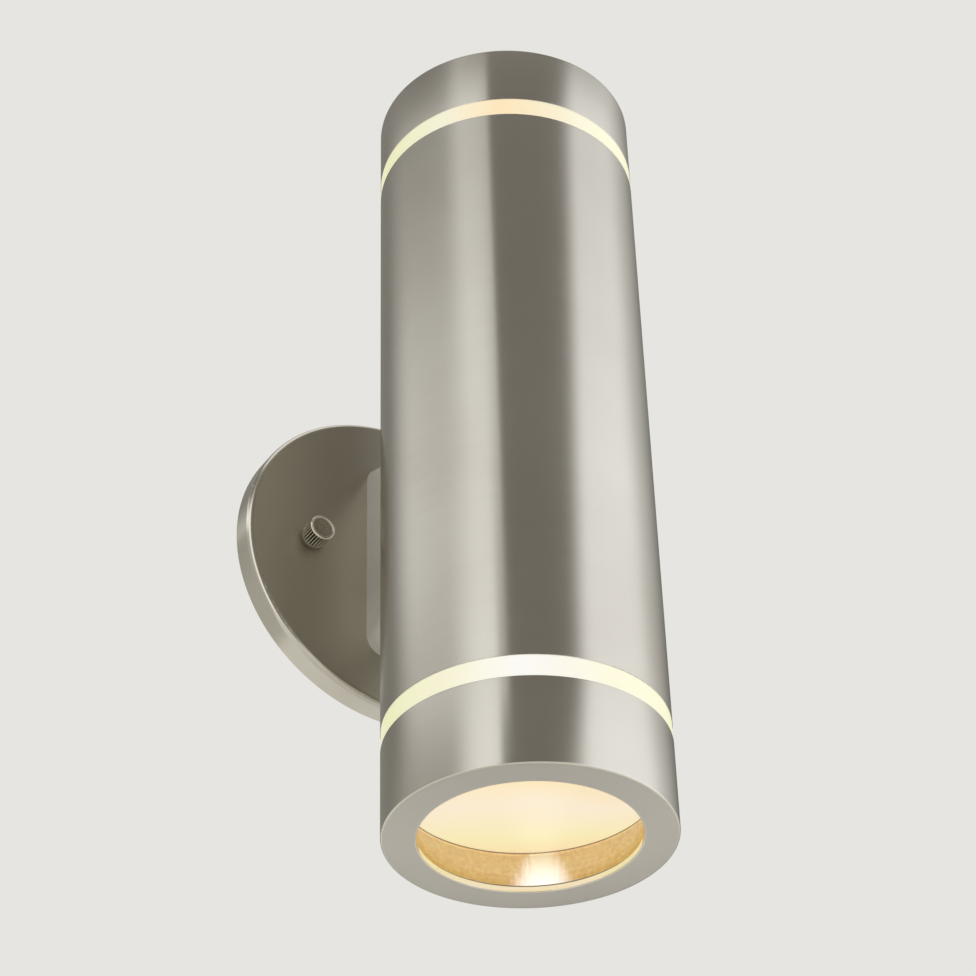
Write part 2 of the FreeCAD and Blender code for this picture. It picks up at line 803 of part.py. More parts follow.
def make_canopy():
    """Shallow round cup, open to the wall."""
    inner = canopy_radius - canopy_wall
    face = canopy_depth - canopy_wall
    body = turned("canopy", [
        (zero, face), (inner, face), (inner, zero), (canopy_radius, zero),
        (canopy_radius, canopy_depth), (zero, canopy_depth)])
    soften(body, canopy_round, is_rim((canopy_radius, canopy_depth)))
    holes = sketch_on(body, "XY_Plane", canopy_depth)
    circle(holes, duct_radius)
    for side in (-1, 1):
        circle(holes, stud_radius + stud_hole_gap, x=stud_spacing / 2 * side)
        circle(holes, screw_radius + screw_gap, y=canopy_screw_offset * side)
    cut_through(body, holes)
    return place(body, rotation=OUT_OF_WALL)


def make_canopy_gasket():
    outer = canopy_radius - canopy_wall - canopy_gasket_gap
    inner = outer - canopy_gasket_width
    body = turned("canopy_gasket", [
        (inner, zero), (outer, zero), (outer, canopy_gasket_thickness), (inner, canopy_gasket_thickness)])
    return place(body, rotation=OUT_OF_WALL)


def make_mounting_plate():
    """Cross-shaped plate on the wall: upright arm with box slots, cross arm with the studs."""
    body = new_body("mounting_plate")
    half = plate_width / 2
    cross = sketch_on(body, "XY_Plane")
    polygon(cross, [
        (-half, -plate_reach), (half, -plate_reach), (half, -half), (plate_side_reach, -half),
        (plate_side_reach, half), (half, half), (half, plate_reach), (-half, plate_reach),
        (-half, half), (-plate_side_reach, half), (-plate_side_reach, -half), (-half, -half)])
    padded(body, cross, plate_thickness)
    soften(body, plate_round, arm_end_corner)
    holes = sketch_on(body, "XY_Plane", plate_thickness)
    circle(holes, plate_bore_radius)
    circle(holes, stud_radius + thread_gap, x=ground_screw_offset)
    run = box_slot_length / 2 - box_slot_radius
    for side in (-1, 1):
        circle(holes, stud_radius + thread_gap, x=stud_spacing / 2 * side)
        for end in (-1, 1):
            circle(holes, box_slot_radius, y=box_screw_spacing / 2 * side + run * end)
    cut_through(body, holes)
    slots = sketch_on(body, "XY_Plane", plate_thickness)
    for side in (-1, 1):
        middle = box_screw_spacing / 2 * side
        rectangle(slots, -box_slot_radius, middle - run, box_slot_radius, middle + run)
    cut_through(body, slots)
    return place(body, rotation=OUT_OF_WALL)


def make_ground_screw():
    head = hexagon("ground_screw_head", ground_head_width, ground_head_height)
    place(head, z=plate_thickness)
    shank = primitive("Cylinder", "ground_screw_shank", {
        "Radius": stud_radius, "Height": plate_thickness})
    whole = combine("Fuse", "ground_screw", head, shank)
    return place(whole, x=ground_screw_offset, rotation=OUT_OF_WALL)


def make_stud(name, side):
    length = canopy_depth + washer_thickness + thumb_nut_bore - stud_end_gap
    body = turned(name + "_stud", [
        (zero, zero), (stud_radius, zero), (stud_radius, length - stud_tip),
        (stud_radius - stud_tip, length), (zero, length)])
    return place(body, x=stud_spacing / 2 * side, rotation=OUT_OF_WALL)


def make_stud_lock_nuts():
    nuts = []
    for index, side in enumerate((-1, 1)):
        blank = hexagon("lock_nut_blank_%d" % index, lock_nut_width, lock_nut_height)
        bore = primitive("Cylinder", "lock_nut_bore_%d" % index, {
            "Radius": stud_radius + thread_gap, "Height": lock_nut_height})
        nut = combine("Cut", "lock_nut_%d" % index, blank, bore)
        nuts.append(place(nut, x=stud_spacing / 2 * side, rotation=OUT_OF_WALL))
    return place(group("Compound", "stud_lock_nuts", nuts), y=-plate_thickness)


def make_washer(name, side):
    hole = stud_radius + thread_gap
    body = turned(name + "_washer", [
        (hole, zero), (washer_radius, zero), (washer_radius, washer_thickness), (hole, washer_thickness)])
    return place(body, x=stud_spacing / 2 * side, y=-canopy_depth, rotation=OUT_OF_WALL)


def make_thumb_nut(name, side):
    """Straight-knurled cap nut with a plain band and a dished outer face."""
    outer = thumb_nut_radius
    face = outer - thumb_nut_chamfer
    dish = face - thumb_nut_face
    hole = stud_radius + thread_gap
    height = thumb_nut_height
    body = turned(name + "_thumb_nut", [
        (hole, zero), (outer, zero), (outer, height - thumb_nut_chamfer), (face, height),
        (dish, height), (dish - thumb_nut_dish, height - thumb_nut_dish),
        (zero, height - thumb_nut_dish), (zero, thumb_nut_bore), (hole, thumb_nut_bore)])
    doc.recompute()
    notch = sketch_on(body, "XY_Plane")
    clear = outer + knurl_depth
    wide = knurl_width                                   # half a width to each side, at twice the depth
    polygon(notch, [(outer - knurl_depth, zero), (clear, -wide), (clear, wide)])
    first = cut_to_depth(body, notch, height - knurl_plain - thumb_nut_chamfer, along_normal=True)
    doc.recompute()
    repeat_about_z(body, first, knurl_count)
    seat = canopy_depth + washer_thickness
    return place(body, x=stud_spacing / 2 * side, y=-seat, rotation=OUT_OF_WALL)


# ---- the whole light ----

pieces = [make_main_tube()]
for end_name, end_sizes in ends.items():
    pieces += make_end(end_name, end_sizes)
pieces += [make_chassis(), make_saddle_spacer(), make_wire_grommet()]
pieces += [make_led_driver(), make_driver_screws(), make_neck(), make_neck_screws()]
pieces += [make_canopy(), make_canopy_screws(), make_canopy_gasket()]
pieces += [make_mounting_plate(), make_ground_screw(), make_stud_lock_nuts()]
for side_name, side_sign in (("left", -1), ("right", 1)):
    pieces += [make_stud(side_name, side_sign), make_washer(side_name, side_sign)]
    pieces.append(make_thumb_nut(side_name, side_sign))

doc.recompute()
for item in doc.Objects:
    if "Invalid" in item.State or "Error" in item.State:
        raise RuntimeError("%s failed to rebuild: %s" % (item.Label, item.State))
for piece in pieces:
    if piece.Shape.isNull() or not piece.Shape.isValid():
        raise RuntimeError("%s has no valid shape" % piece.Label)

os.makedirs("parts", exist_ok=True)
for piece in pieces:
    piece.Shape.exportStep("parts/%s.step" % piece.Label)
    shape = piece.Shape
    print("%-22s solids %2d  volume %10.1f mm3" % (piece.Label, len(shape.Solids), shape.Volume))
print(len(pieces), "pieces")
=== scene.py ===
import math

import bmesh
import bpy
from mathutils import Matrix, Quaternion, Vector


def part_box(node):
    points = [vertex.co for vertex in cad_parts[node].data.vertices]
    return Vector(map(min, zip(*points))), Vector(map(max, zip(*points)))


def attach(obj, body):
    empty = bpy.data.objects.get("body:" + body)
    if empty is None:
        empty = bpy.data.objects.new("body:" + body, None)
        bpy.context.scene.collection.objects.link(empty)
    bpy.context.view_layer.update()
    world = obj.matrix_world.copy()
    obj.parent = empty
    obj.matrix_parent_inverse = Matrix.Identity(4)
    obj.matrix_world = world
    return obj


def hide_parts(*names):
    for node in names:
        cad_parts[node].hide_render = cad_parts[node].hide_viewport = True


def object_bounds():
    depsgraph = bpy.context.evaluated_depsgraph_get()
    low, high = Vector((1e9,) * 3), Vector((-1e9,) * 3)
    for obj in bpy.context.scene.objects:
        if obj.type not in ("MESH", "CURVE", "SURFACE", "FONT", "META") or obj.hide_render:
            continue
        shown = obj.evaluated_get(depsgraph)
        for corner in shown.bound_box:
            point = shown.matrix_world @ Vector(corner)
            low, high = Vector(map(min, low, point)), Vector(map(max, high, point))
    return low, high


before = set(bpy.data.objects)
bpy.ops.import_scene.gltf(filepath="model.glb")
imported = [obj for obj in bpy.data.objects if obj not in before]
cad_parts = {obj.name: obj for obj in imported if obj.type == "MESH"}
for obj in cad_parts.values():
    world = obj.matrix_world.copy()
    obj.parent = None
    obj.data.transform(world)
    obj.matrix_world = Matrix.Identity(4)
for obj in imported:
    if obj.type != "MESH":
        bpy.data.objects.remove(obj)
cadLow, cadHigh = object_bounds()
print("scene: frame loaded,", len(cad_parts), "nodes")

mm = 0.001
tubeLow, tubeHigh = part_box("main_tube")
tubeAxis = (tubeLow + tubeHigh) / 2            # a point on the upright tube's axis
tubeRadius = (tubeHigh.x - tubeLow.x) / 2
noiseLow, noiseHigh = 0.3, 0.7                 # a noise texture keeps mostly between these
scene = bpy.context.scene


def linearColour(hexValue):
    # an sRGB hex colour as the linear RGBA that the nodes take
    channels = [int(hexValue[at:at + 2], 16) / 255 for at in (0, 2, 4)]
    curved = [c / 12.92 if c <= 0.04045 else ((c + 0.055) / 1.055) ** 2.4 for c in channels]
    return (*curved, 1.0)


def addNode(tree, kind, inputs=None, stops=(), **settings):
    # One node with its settings. An input takes a value, a hex colour or another node's
    # output, and the stops of a colour ramp are pairs of a position and a hex colour.
    node = tree.nodes.new(kind)
    for name, value in settings.items():
        setattr(node, name, value)
    for socket, value in (inputs or {}).items():
        if isinstance(value, bpy.types.NodeSocket):
            tree.links.new(value, node.inputs[socket])
        else:
            node.inputs[socket].default_value = linearColour(value) if isinstance(value, str) else value
    for at, (position, colour) in enumerate(stops):
        elements = node.color_ramp.elements
        element = elements[at] if at < 2 else elements.new(position)
        element.position = position
        element.color = linearColour(colour)
    return node


def newMaterial(name):
    material = bpy.data.materials.new(name)
    material.use_nodes = True
    material.node_tree.nodes.clear()
    return material, material.node_tree


def finishMaterial(material, shader):
    addNode(material.node_tree, "ShaderNodeOutputMaterial", {"Surface": shader})
    return material


# The camera stands below the light, in front and to its left.
photoCamera = {
    "place": (-0.3771, -0.6460, -0.5152),
    "target": (0.0176, -0.0405, 0.0210),
    "roll": -0.03,                             # radians
    "lens": 94.11, "sensor": 36,               # mm
    "nearest": 0.01,                           # nothing nearer than this shows
}


def makeCamera(look):
    data = bpy.data.cameras.new("photoCamera")
    data.sensor_width = look["sensor"]
    data.lens = look["lens"]
    data.clip_start = look["nearest"]
    camera = bpy.data.objects.new("photoCamera", data)
    scene.collection.objects.link(camera)
    forward = Vector(look["target"]) - Vector(look["place"])
    turn = forward.to_track_quat("-Z", "Y") @ Quaternion((0, 0, 1), look["roll"])
    camera.matrix_world = Matrix.Translation(look["place"]) @ turn.to_matrix().to_4x4()
    scene.camera = camera


# A light tent stands round the object: white cloth lit from outside.
studio = {
    "world": "E6E5E1",                         # pale background, the same in every direction
    "floor": "F3F2EF", "floorFibre": 2.5 * mm,
    "floorDrop": 0.75,                         # from the object's lowest point to the floor
    "floorSize": 60.0,                         # metres, like all lengths here
    "tentRadius": 1.1, "tentSides": 120,
    "tentHeights": (-0.45, 2.4),
    "tentGlow": 1.2,                           # radiance of pure white cloth
    "cloth": "D6D5D1",
}

# Soft boxes, shades and a grey flag hang in the tent, each over the ones before it.
# Bearings are degrees round the tube, 0 straight out of the wall and 90 to the right.
# Each edge goes from its place outside the panel, where nothing shows, to one inside.
# A lean moves the right edge, in degrees for each metre up.
tentPanels = {
    "shadeLeft": {"colour": "A09E97", "right": (-66, -88)},
    "shadeTopLeft": {"colour": "6E6C66", "right": (-66, -88), "bottom": (0.95, 1.20)},
    "glowLeft": {"colour": "F8F7F4", "right": (-62, -86), "bottom": (0.52, 0.68), "top": (1.04, 0.74)},
    "shadeBehindRight": {"colour": "5E5C56", "left": (68, 135)},
    "paleBehind": {"colour": "82807A", "left": (150, 168)},
    "shadeBehindLeft": {"colour": "7C7A74", "right": (-126, -165), "bottom": (-0.10, 0.40)},
    "softBoxLeft": {"colour": "F1F0ED", "left": (-94, -62), "right": (-42, -47), "top": (1.60, 0.90)},
    "softBoxRight": {"colour": "F6F6F6", "left": (-4, 16), "right": (88, 64)},
    "shadeTopMiddle": {"colour": "79766E", "left": (-85, -66), "right": (-38, -45), "bottom": (0.96, 1.38)},
    "shadeTopRight": {"colour": "9A9891", "left": (4, 20), "right": (100, 75), "bottom": (1.06, 1.42)},
    "flagInFront": {"colour": "736F67", "left": (-47.3, -45.7), "right": (0.8, -15.5), "lean": 31.0},
    "flagFoot": {"colour": "736F67", "left": (-54.0, -50.5), "right": (-38, -44), "top": (0.70, 0.54)},
}


def paperMaterial(look):
    # Matt studio paper: an even, dull surface with a faint fibre.
    material, tree = newMaterial("palePaperFloor")
    place = addNode(tree, "ShaderNodeTexCoord").outputs["Object"]
    fibres = addNode(tree, "ShaderNodeTexNoise", {
        "Vector": place, "Scale": 1 / look["floorFibre"], "Detail": 2.0})
    grain = addNode(tree, "ShaderNodeBump", {"Height": fibres.outputs["Fac"], "Strength": 0.02})
    shader = addNode(tree, "ShaderNodeBsdfPrincipled", {
        "Base Color": look["floor"], "Roughness": 0.9, "Specular IOR Level": 0.1,
        "Normal": grain.outputs["Normal"]})
    return finishMaterial(material, shader.outputs["BSDF"])


def tentMaterial(look, panels):
    # Diffusing cloth lit from behind: it glows, less where a panel hangs before it.
    material, tree = newMaterial("glowingTentCloth")
    chart = addNode(tree, "ShaderNodeUVMap", uv_map="tentMap").outputs["UV"]
    parts = addNode(tree, "ShaderNodeSeparateXYZ", {"Vector": chart}).outputs
    bearing = addNode(tree, "ShaderNodeMath", {
        0: parts["X"], 1: 360.0, 2: -180.0}, operation="MULTIPLY_ADD").outputs[0]
    colour = linearColour(look["cloth"])
    for panel in panels.values():
        leaning = addNode(tree, "ShaderNodeMath", {
            0: parts["Y"], 1: -float(panel.get("lean", 0)), 2: bearing}, operation="MULTIPLY_ADD")
        cover = 1.0
        for edge, along in (("left", bearing), ("right", leaning.outputs[0]),
                            ("bottom", parts["Y"]), ("top", parts["Y"])):
            if edge in panel:
                soft = addNode(tree, "ShaderNodeMapRange", {
                    "Value": along, "From Min": panel[edge][0], "From Max": panel[edge][1]},
                    interpolation_type="SMOOTHSTEP")
                cover = addNode(tree, "ShaderNodeMath", {
                    0: soft.outputs["Result"], 1: cover}, operation="MULTIPLY").outputs[0]
        colour = addNode(tree, "ShaderNodeMix", {
            "Factor": cover, "A": colour, "B": panel["colour"]}, data_type="RGBA").outputs["Result"]
    glow = addNode(tree, "ShaderNodeEmission", {"Color": colour, "Strength": look["tentGlow"]})
    return finishMaterial(material, glow.outputs["Emission"])


def makeStage(look, panels):
    reach, level = look["floorSize"] / 2, cadLow.z - look["floorDrop"]
    floor = bpy.data.meshes.new("studioFloor")
    corners = [(x * reach, y * reach, level) for x, y in ((-1, -1), (1, -1), (1, 1), (-1, 1))]
    floor.from_pydata(corners, [], [(0, 1, 2, 3)])
    floor.materials.append(paperMaterial(look))

    tent = bpy.data.meshes.new("lightTent")
    sides, radius = look["tentSides"], look["tentRadius"]
    points = []
    for side in range(sides + 1):
        bearing = math.radians(-180 + 360 * side / sides)
        x, y = radius * math.sin(bearing), tubeAxis.y - radius * math.cos(bearing)
        points += [(x, y, height) for height in look["tentHeights"]]
    tent.from_pydata(points, [], [(2 * at, 2 * at + 2, 2 * at + 3, 2 * at + 1) for at in range(sides)])
    chart = tent.uv_layers.new(name="tentMap")   # across: the bearing; up: the height in metres
    for loop in tent.loops:
        chart.data[loop.index].uv = (loop.vertex_index // 2 / sides, points[loop.vertex_index][2])
    tent.materials.append(tentMaterial(look, panels))

    for mesh in (floor, tent):
        piece = bpy.data.objects.new(mesh.name, mesh)
        scene.collection.objects.link(piece)
        piece.visible_camera = mesh is floor   # the tent shows only in the metal and as light


def makeWorld(look):
    world = bpy.data.worlds.new("paleStudio")
    scene.world = world
    world.use_nodes = True
    world.node_tree.nodes.clear()
    shade = addNode(world.node_tree, "ShaderNodeBackground", {"Color": look["world"]})
    addNode(world.node_tree, "ShaderNodeOutputWorld", {"Surface": shade.outputs["Background"]})


scene.view_settings.view_transform = "Standard"
makeCamera(photoCamera)
makeStage(studio, tentPanels)
makeWorld(studio)
print("scene: camera, floor and light tent made")


nickelPlate = {
    "linePitch": 0.5 * mm,                     # really about 0.05 mm: drawn ten times as coarse
    "lineDepth": 0.02 * mm, "lineGloss": 0.02, "cloud": 55.56 * mm,
    "lipFade": 0.2 * mm, "edgeFade": 0.05 * mm,
}
# The metal is polished inside lipRadius, and from edgeInner inside edgeRadius to
# edgeOuter past it, and there its tone is painted paler: a painted highlight.
tubeFinish = {
    **nickelPlate,
    "pale": "DAD7D0", "deep": "D2CEC6",        # nickel: a white metal, slightly warm
    "centre": (0, -tubeAxis.y, 0), "axis": "Z",
    "linesRound": 1.9,                         # noise steps in a radian: fewer make longer lines
    "lineStrength": 0.04, "roughness": 0.24, "stretch": 0.8,
    # the polished lip and edges take a paler tone: a painted highlight
    "lip": "F6F2E6", "lipRadius": 34.5 * mm, "lipRoughness": 0.07,
    "edgeRadius": tubeRadius, "edgeInner": 0.6 * mm, "edgeOuter": -0.08 * mm,
}
canopyFinish = {
    **nickelPlate,
    # darker than the tube's nickel: painted shade, for the face that lies in the tube's shade
    "pale": "BDB7A8", "deep": "B3AD9E",
    "centre": (0, 0, 0), "axis": "Y", "linesRound": 2.6,
    "lineStrength": 0.05, "roughness": 0.42, "stretch": 0.0,
    # the rim's corner and side take a paler tone: a painted highlight on the polished rim
    "lip": "E9E5DA", "lipRadius": 0.0, "lipRoughness": 0.2,
    "edgeRadius": cadHigh.x, "edgeInner": 1.5 * mm, "edgeOuter": 1 * mm,
}


def brushedNickel(name, look):
    # Satin nickel plate, belt-brushed while it turned: lines run round the sides and
    # in rings on the faces, and draw a highlight out across them. The edge of the
    # opening and the outer corners are polished, and painted paler there: a painted highlight.
    material, tree = newMaterial(name)
    place = addNode(tree, "ShaderNodeTexCoord").outputs["Object"]
    centred = addNode(tree, "ShaderNodeMapping", {
        "Vector": place, "Location": look["centre"]}).outputs["Vector"]
    along = Vector([float(letter == look["axis"]) for letter in "XYZ"])
    across = addNode(tree, "ShaderNodeVectorMath", {
        0: centred, 1: Vector((1, 1, 1)) - along}, operation="MULTIPLY").outputs["Vector"]
    radius = addNode(tree, "ShaderNodeVectorMath", {0: across}, operation="LENGTH").outputs["Value"]
    outwards = addNode(tree, "ShaderNodeVectorMath", {0: across}, operation="NORMALIZE").outputs["Vector"]
    height = addNode(tree, "ShaderNodeVectorMath", {
        0: centred, 1: along / look["linePitch"]}, operation="MULTIPLY").outputs["Vector"]
    spot = addNode(tree, "ShaderNodeVectorMath", {
        0: outwards, 1: [look["linesRound"]] * 3, 2: height}, operation="MULTIPLY_ADD").outputs["Vector"]
    ring = addNode(tree, "ShaderNodeMath", {0: radius, 1: look["linePitch"]}, operation="DIVIDE").outputs[0]
    lines = addNode(tree, "ShaderNodeTexNoise", {
        "Vector": spot, "W": ring, "Scale": 1.0, "Detail": 3.0, "Roughness": 0.65},
        noise_dimensions="4D").outputs["Fac"]
    satin = addNode(tree, "ShaderNodeMapRange", {
        "Value": lines, "From Min": noiseLow, "From Max": noiseHigh,
        "To Min": look["roughness"] - look["lineGloss"], "To Max": look["roughness"] + look["lineGloss"]})
    pastLip = addNode(tree, "ShaderNodeMapRange", {
        "Value": radius, "From Min": look["lipRadius"], "From Max": look["lipRadius"] + look["lipFade"]})
    edgeStart = look["edgeRadius"] - look["edgeInner"]
    edgeEnd = look["edgeRadius"] + look["edgeOuter"]
    beforeEdge = addNode(tree, "ShaderNodeMapRange", {
        "Value": radius, "From Min": edgeStart, "From Max": edgeStart + look["edgeInner"] / 4,
        "To Min": 1.0, "To Max": 0.0})
    pastEdge = addNode(tree, "ShaderNodeMapRange", {
        "Value": radius, "From Min": edgeEnd, "From Max": edgeEnd + look["edgeFade"]})
    offEdge = addNode(tree, "ShaderNodeMath", {
        0: beforeEdge.outputs["Result"], 1: pastEdge.outputs["Result"]}, operation="MAXIMUM")
    isSatin = addNode(tree, "ShaderNodeMath", {
        0: pastLip.outputs["Result"], 1: offEdge.outputs[0]}, operation="MULTIPLY").outputs[0]
    gloss = addNode(tree, "ShaderNodeMapRange", {
        "Value": isSatin, "To Min": look["lipRoughness"], "To Max": satin.outputs["Result"]})
    clouds = addNode(tree, "ShaderNodeTexNoise", {
        "Vector": place, "Scale": 1 / look["cloud"], "Detail": 2.0})
    plate = addNode(tree, "ShaderNodeValToRGB", {"Fac": clouds.outputs["Fac"]},
                    stops=((noiseLow, look["pale"]), (noiseHigh, look["deep"])))
    # painted highlight: a paler tone on the polished lip and edges
    tone = addNode(tree, "ShaderNodeMix", {
        "Factor": isSatin, "A": look["lip"], "B": plate.outputs["Color"]}, data_type="RGBA")
    scratches = addNode(tree, "ShaderNodeBump", {
        "Height": lines, "Strength": look["lineStrength"], "Distance": look["lineDepth"]})
    tangent = addNode(tree, "ShaderNodeTangent", direction_type="RADIAL", axis=look["axis"])
    shader = addNode(tree, "ShaderNodeBsdfPrincipled", {
        "Base Color": tone.outputs["Result"], "Metallic": 1.0, "Roughness": gloss.outputs["Result"],
        "Anisotropic": look["stretch"], "Anisotropic Rotation": 0.25,
        "Tangent": tangent.outputs["Tangent"], "Normal": scratches.outputs["Normal"]})
    return finishMaterial(material, shader.outputs["BSDF"])


neckFinish = {
    "pale": "F4F3F0", "deep": "F0EFEC", "roughness": 0.62, "unevenness": 0.02,
    "smear": 7 * mm, "pebble": 0.35 * mm, "pebbleDepth": 0.01 * mm,
}


def blastedNickel(name, look):
    # Nickel plate over a bead-blasted casting: matt and even in every direction, with a
    # little unevenness where hands have been.
    material, tree = newMaterial(name)
    place = addNode(tree, "ShaderNodeTexCoord").outputs["Object"]
    smears = addNode(tree, "ShaderNodeTexNoise", {
        "Vector": place, "Scale": 1 / look["smear"], "Detail": 4.0}).outputs["Fac"]
    gloss = addNode(tree, "ShaderNodeMapRange", {
        "Value": smears, "From Min": noiseLow, "From Max": noiseHigh,
        "To Min": look["roughness"] * (1 - look["unevenness"]),
        "To Max": look["roughness"] * (1 + look["unevenness"])})
    tone = addNode(tree, "ShaderNodeValToRGB", {"Fac": smears},
                   stops=((noiseLow, look["pale"]), (noiseHigh, look["deep"])))
    pebbles = addNode(tree, "ShaderNodeTexNoise", {
        "Vector": place, "Scale": 1 / look["pebble"], "Detail": 1.0})
    ripple = addNode(tree, "ShaderNodeBump", {
        "Height": pebbles.outputs["Fac"], "Strength": 0.5, "Distance": look["pebbleDepth"]})
    shader = addNode(tree, "ShaderNodeBsdfPrincipled", {
        "Base Color": tone.outputs["Color"], "Metallic": 1.0, "Roughness": gloss.outputs["Result"],
        "Normal": ripple.outputs["Normal"]})
    return finishMaterial(material, shader.outputs["BSDF"])


nutFinish = {
    # the pale rim is a painted highlight, the darker face a painted reflection of the canopy, the groove
    # tone painted shade
    "pale": "F6F2E6", "face": "BCB6A7", "paintedGrooveShade": "4E4A3C",
    "roughness": 0.26, "unevenness": 0.3, "wear": 0.4 * mm, "rimRoughness": 0.08,
    "rimDepth": 0.6 * mm, "rimWidth": 0.85 * mm, "rimFade": 0.1 * mm,
    "crestDepth": 0.04 * mm, "paintedGrooveShadeDepth": 0.34 * mm,   # below the crests: the plate's tone, then painted shade
}


def knurledNickel(look):
    # Bright nickel plate on a turned brass nut: polished on the rim and painted paler
    # there, a painted highlight; duller in the dished face and painted darker there, a
    # painted reflection of the canopy; pale on the crests of the knurl, with painted shade in its grooves.
    material, tree = newMaterial("knurledNickelNut")
    low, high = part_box("right_thumb_nut")
    middle, radius = (low + high) / 2, (high.x - low.x) / 2
    place = addNode(tree, "ShaderNodeTexCoord").outputs["Object"]
    # the left nut is the right one's mirror image, so both are treated as the right one
    mirrored = addNode(tree, "ShaderNodeVectorMath", {0: place}, operation="ABSOLUTE").outputs["Vector"]
    around = addNode(tree, "ShaderNodeVectorMath", {
        0: mirrored, 1: (middle.x, 0, middle.z)}, operation="SUBTRACT").outputs["Vector"]
    flat = addNode(tree, "ShaderNodeVectorMath", {
        0: around, 1: (1, 0, 1)}, operation="MULTIPLY").outputs["Vector"]
    reach = addNode(tree, "ShaderNodeVectorMath", {0: flat}, operation="LENGTH").outputs["Value"]
    level = addNode(tree, "ShaderNodeSeparateXYZ", {"Vector": place}).outputs["Y"]
    knurlStart, dishStart = low.y + look["rimDepth"], radius - look["rimWidth"]
    isKnurl = addNode(tree, "ShaderNodeMapRange", {
        "Value": level, "From Min": knurlStart, "From Max": knurlStart + look["rimFade"]})
    inDish = addNode(tree, "ShaderNodeMapRange", {
        "Value": reach, "From Min": dishStart, "From Max": dishStart - look["rimFade"]})
    # painted shade, deeper into the grooves of the knurl
    depth = addNode(tree, "ShaderNodeMapRange", {
        "Value": reach, "From Min": radius - look["crestDepth"], "From Max": radius - look["paintedGrooveShadeDepth"]})
    paintedGrooveShade = addNode(tree, "ShaderNodeMath", {
        0: depth.outputs["Result"], 1: isKnurl.outputs["Result"]}, operation="MULTIPLY").outputs[0]
    # painted highlight on the rim and painted darker reflection in the dish
    plate = addNode(tree, "ShaderNodeMix", {
        "Factor": inDish.outputs["Result"], "A": look["pale"], "B": look["face"]}, data_type="RGBA")
    tone = addNode(tree, "ShaderNodeMix", {
        "Factor": paintedGrooveShade, "A": plate.outputs["Result"], "B": look["paintedGrooveShade"]}, data_type="RGBA")
    worn = addNode(tree, "ShaderNodeTexNoise", {"Vector": place, "Scale": 1 / look["wear"], "Detail": 3.0})
    satin = addNode(tree, "ShaderNodeMapRange", {
        "Value": worn.outputs["Fac"], "To Min": look["roughness"] * (1 - look["unevenness"]),
        "To Max": look["roughness"] * (1 + look["unevenness"])})
    isDull = addNode(tree, "ShaderNodeMath", {
        0: inDish.outputs["Result"], 1: isKnurl.outputs["Result"]}, operation="MAXIMUM").outputs[0]
    gloss = addNode(tree, "ShaderNodeMapRange", {
        "Value": isDull, "To Min": look["rimRoughness"], "To Max": satin.outputs["Result"]})
    shader = addNode(tree, "ShaderNodeBsdfPrincipled", {
        "Base Color": tone.outputs["Result"], "Metallic": 1.0, "Roughness": gloss.outputs["Result"]})
    return finishMaterial(material, shader.outputs["BSDF"])


# Light shines through the opal plastic, so it glows. The tint changes round a ring,
# from the side that faces the camera, and across a disc, along the camera's line of sight.
opalPlastic = {"roughness": 0.3, "ior": 1.49, "grain": 1.2 * mm, "grainDepth": 0.02 * mm}
opalRings = {
    **opalPlastic,
    "plastic": "A8A594", "glow": 0.76,
    "tints": {"cream": "F4F1D6", "lime": "E8EAB6", "cold": "FDFCFF", "warm": "FFE2B4"},
    "lower": "cold", "upper": "warm",          # the tint on the side of a ring that faces the camera
    "facingBearing": -35,                        # where that is
    "spread": ((-95, "cream"), (-64, "lime"), (-26, "cream"), (0, "facing"), (38, "cream"),
               (110, "lime"), (165, "cream")),   # degrees from there
}
opalDiscs = {
    **opalPlastic,
    "plastic": "8E8A7C", "glow": 1.0,
    "tintWay": (0.547, 0.837, 0),              # the tint changes along this, the camera's line of sight seen from above, from start to end
    "start": -11 * mm, "end": 42 * mm,
    "drift": 16 * mm, "driftSize": 33.33 * mm,   # how far it strays, and in patches of what size
    "tints": {"warm": "FFDFA4", "cream": "FFECD2", "yellow": "FDEDB2"},
    "spread": ((0.1, "warm"), (0.4, "cream"), (0.75, "yellow"), (1.0, "warm")),
}


def opalAcrylic(material, tree, look, place, tint):
    # Opal acrylic (PMMA), cast and turned: glossy, and milky all through.
    grain = addNode(tree, "ShaderNodeTexNoise", {
        "Vector": place, "Scale": 1 / look["grain"], "Detail": 2.0})
    skin = addNode(tree, "ShaderNodeBump", {
        "Height": grain.outputs["Fac"], "Strength": 0.03, "Distance": look["grainDepth"]})
    shader = addNode(tree, "ShaderNodeBsdfPrincipled", {
        "Base Color": look["plastic"], "Roughness": look["roughness"], "IOR": look["ior"],
        "Emission Color": tint, "Emission Strength": look["glow"],
        "Normal": skin.outputs["Normal"]})
    return finishMaterial(material, shader.outputs["BSDF"])


def bearingRound(tree, place):
    # degrees round the tube, as on the tent
    parts = addNode(tree, "ShaderNodeSeparateXYZ", {"Vector": place}).outputs
    outwards = addNode(tree, "ShaderNodeMath", {0: tubeAxis.y, 1: parts["Y"]}, operation="SUBTRACT")
    turn = addNode(tree, "ShaderNodeMath", {0: parts["X"], 1: outwards.outputs[0]}, operation="ARCTAN2")
    return addNode(tree, "ShaderNodeMath", {0: turn.outputs[0]}, operation="DEGREES").outputs[0]


def opalRing(look, end):
    material, tree = newMaterial("opalAcrylicRing" + end.title())
    place = addNode(tree, "ShaderNodeTexCoord").outputs["Object"]
    share = addNode(tree, "ShaderNodeMapRange", {
        "Value": bearingRound(tree, place), "From Min": -180.0, "From Max": 180.0})
    tints = {**look["tints"], "facing": look["tints"][look[end]]}
    stops = [((look["facingBearing"] + turn + 180) / 360, tints[tone]) for turn, tone in look["spread"]]
    tint = addNode(tree, "ShaderNodeValToRGB", {"Fac": share.outputs["Result"]}, stops=stops)
    return opalAcrylic(material, tree, look, place, tint.outputs["Color"])


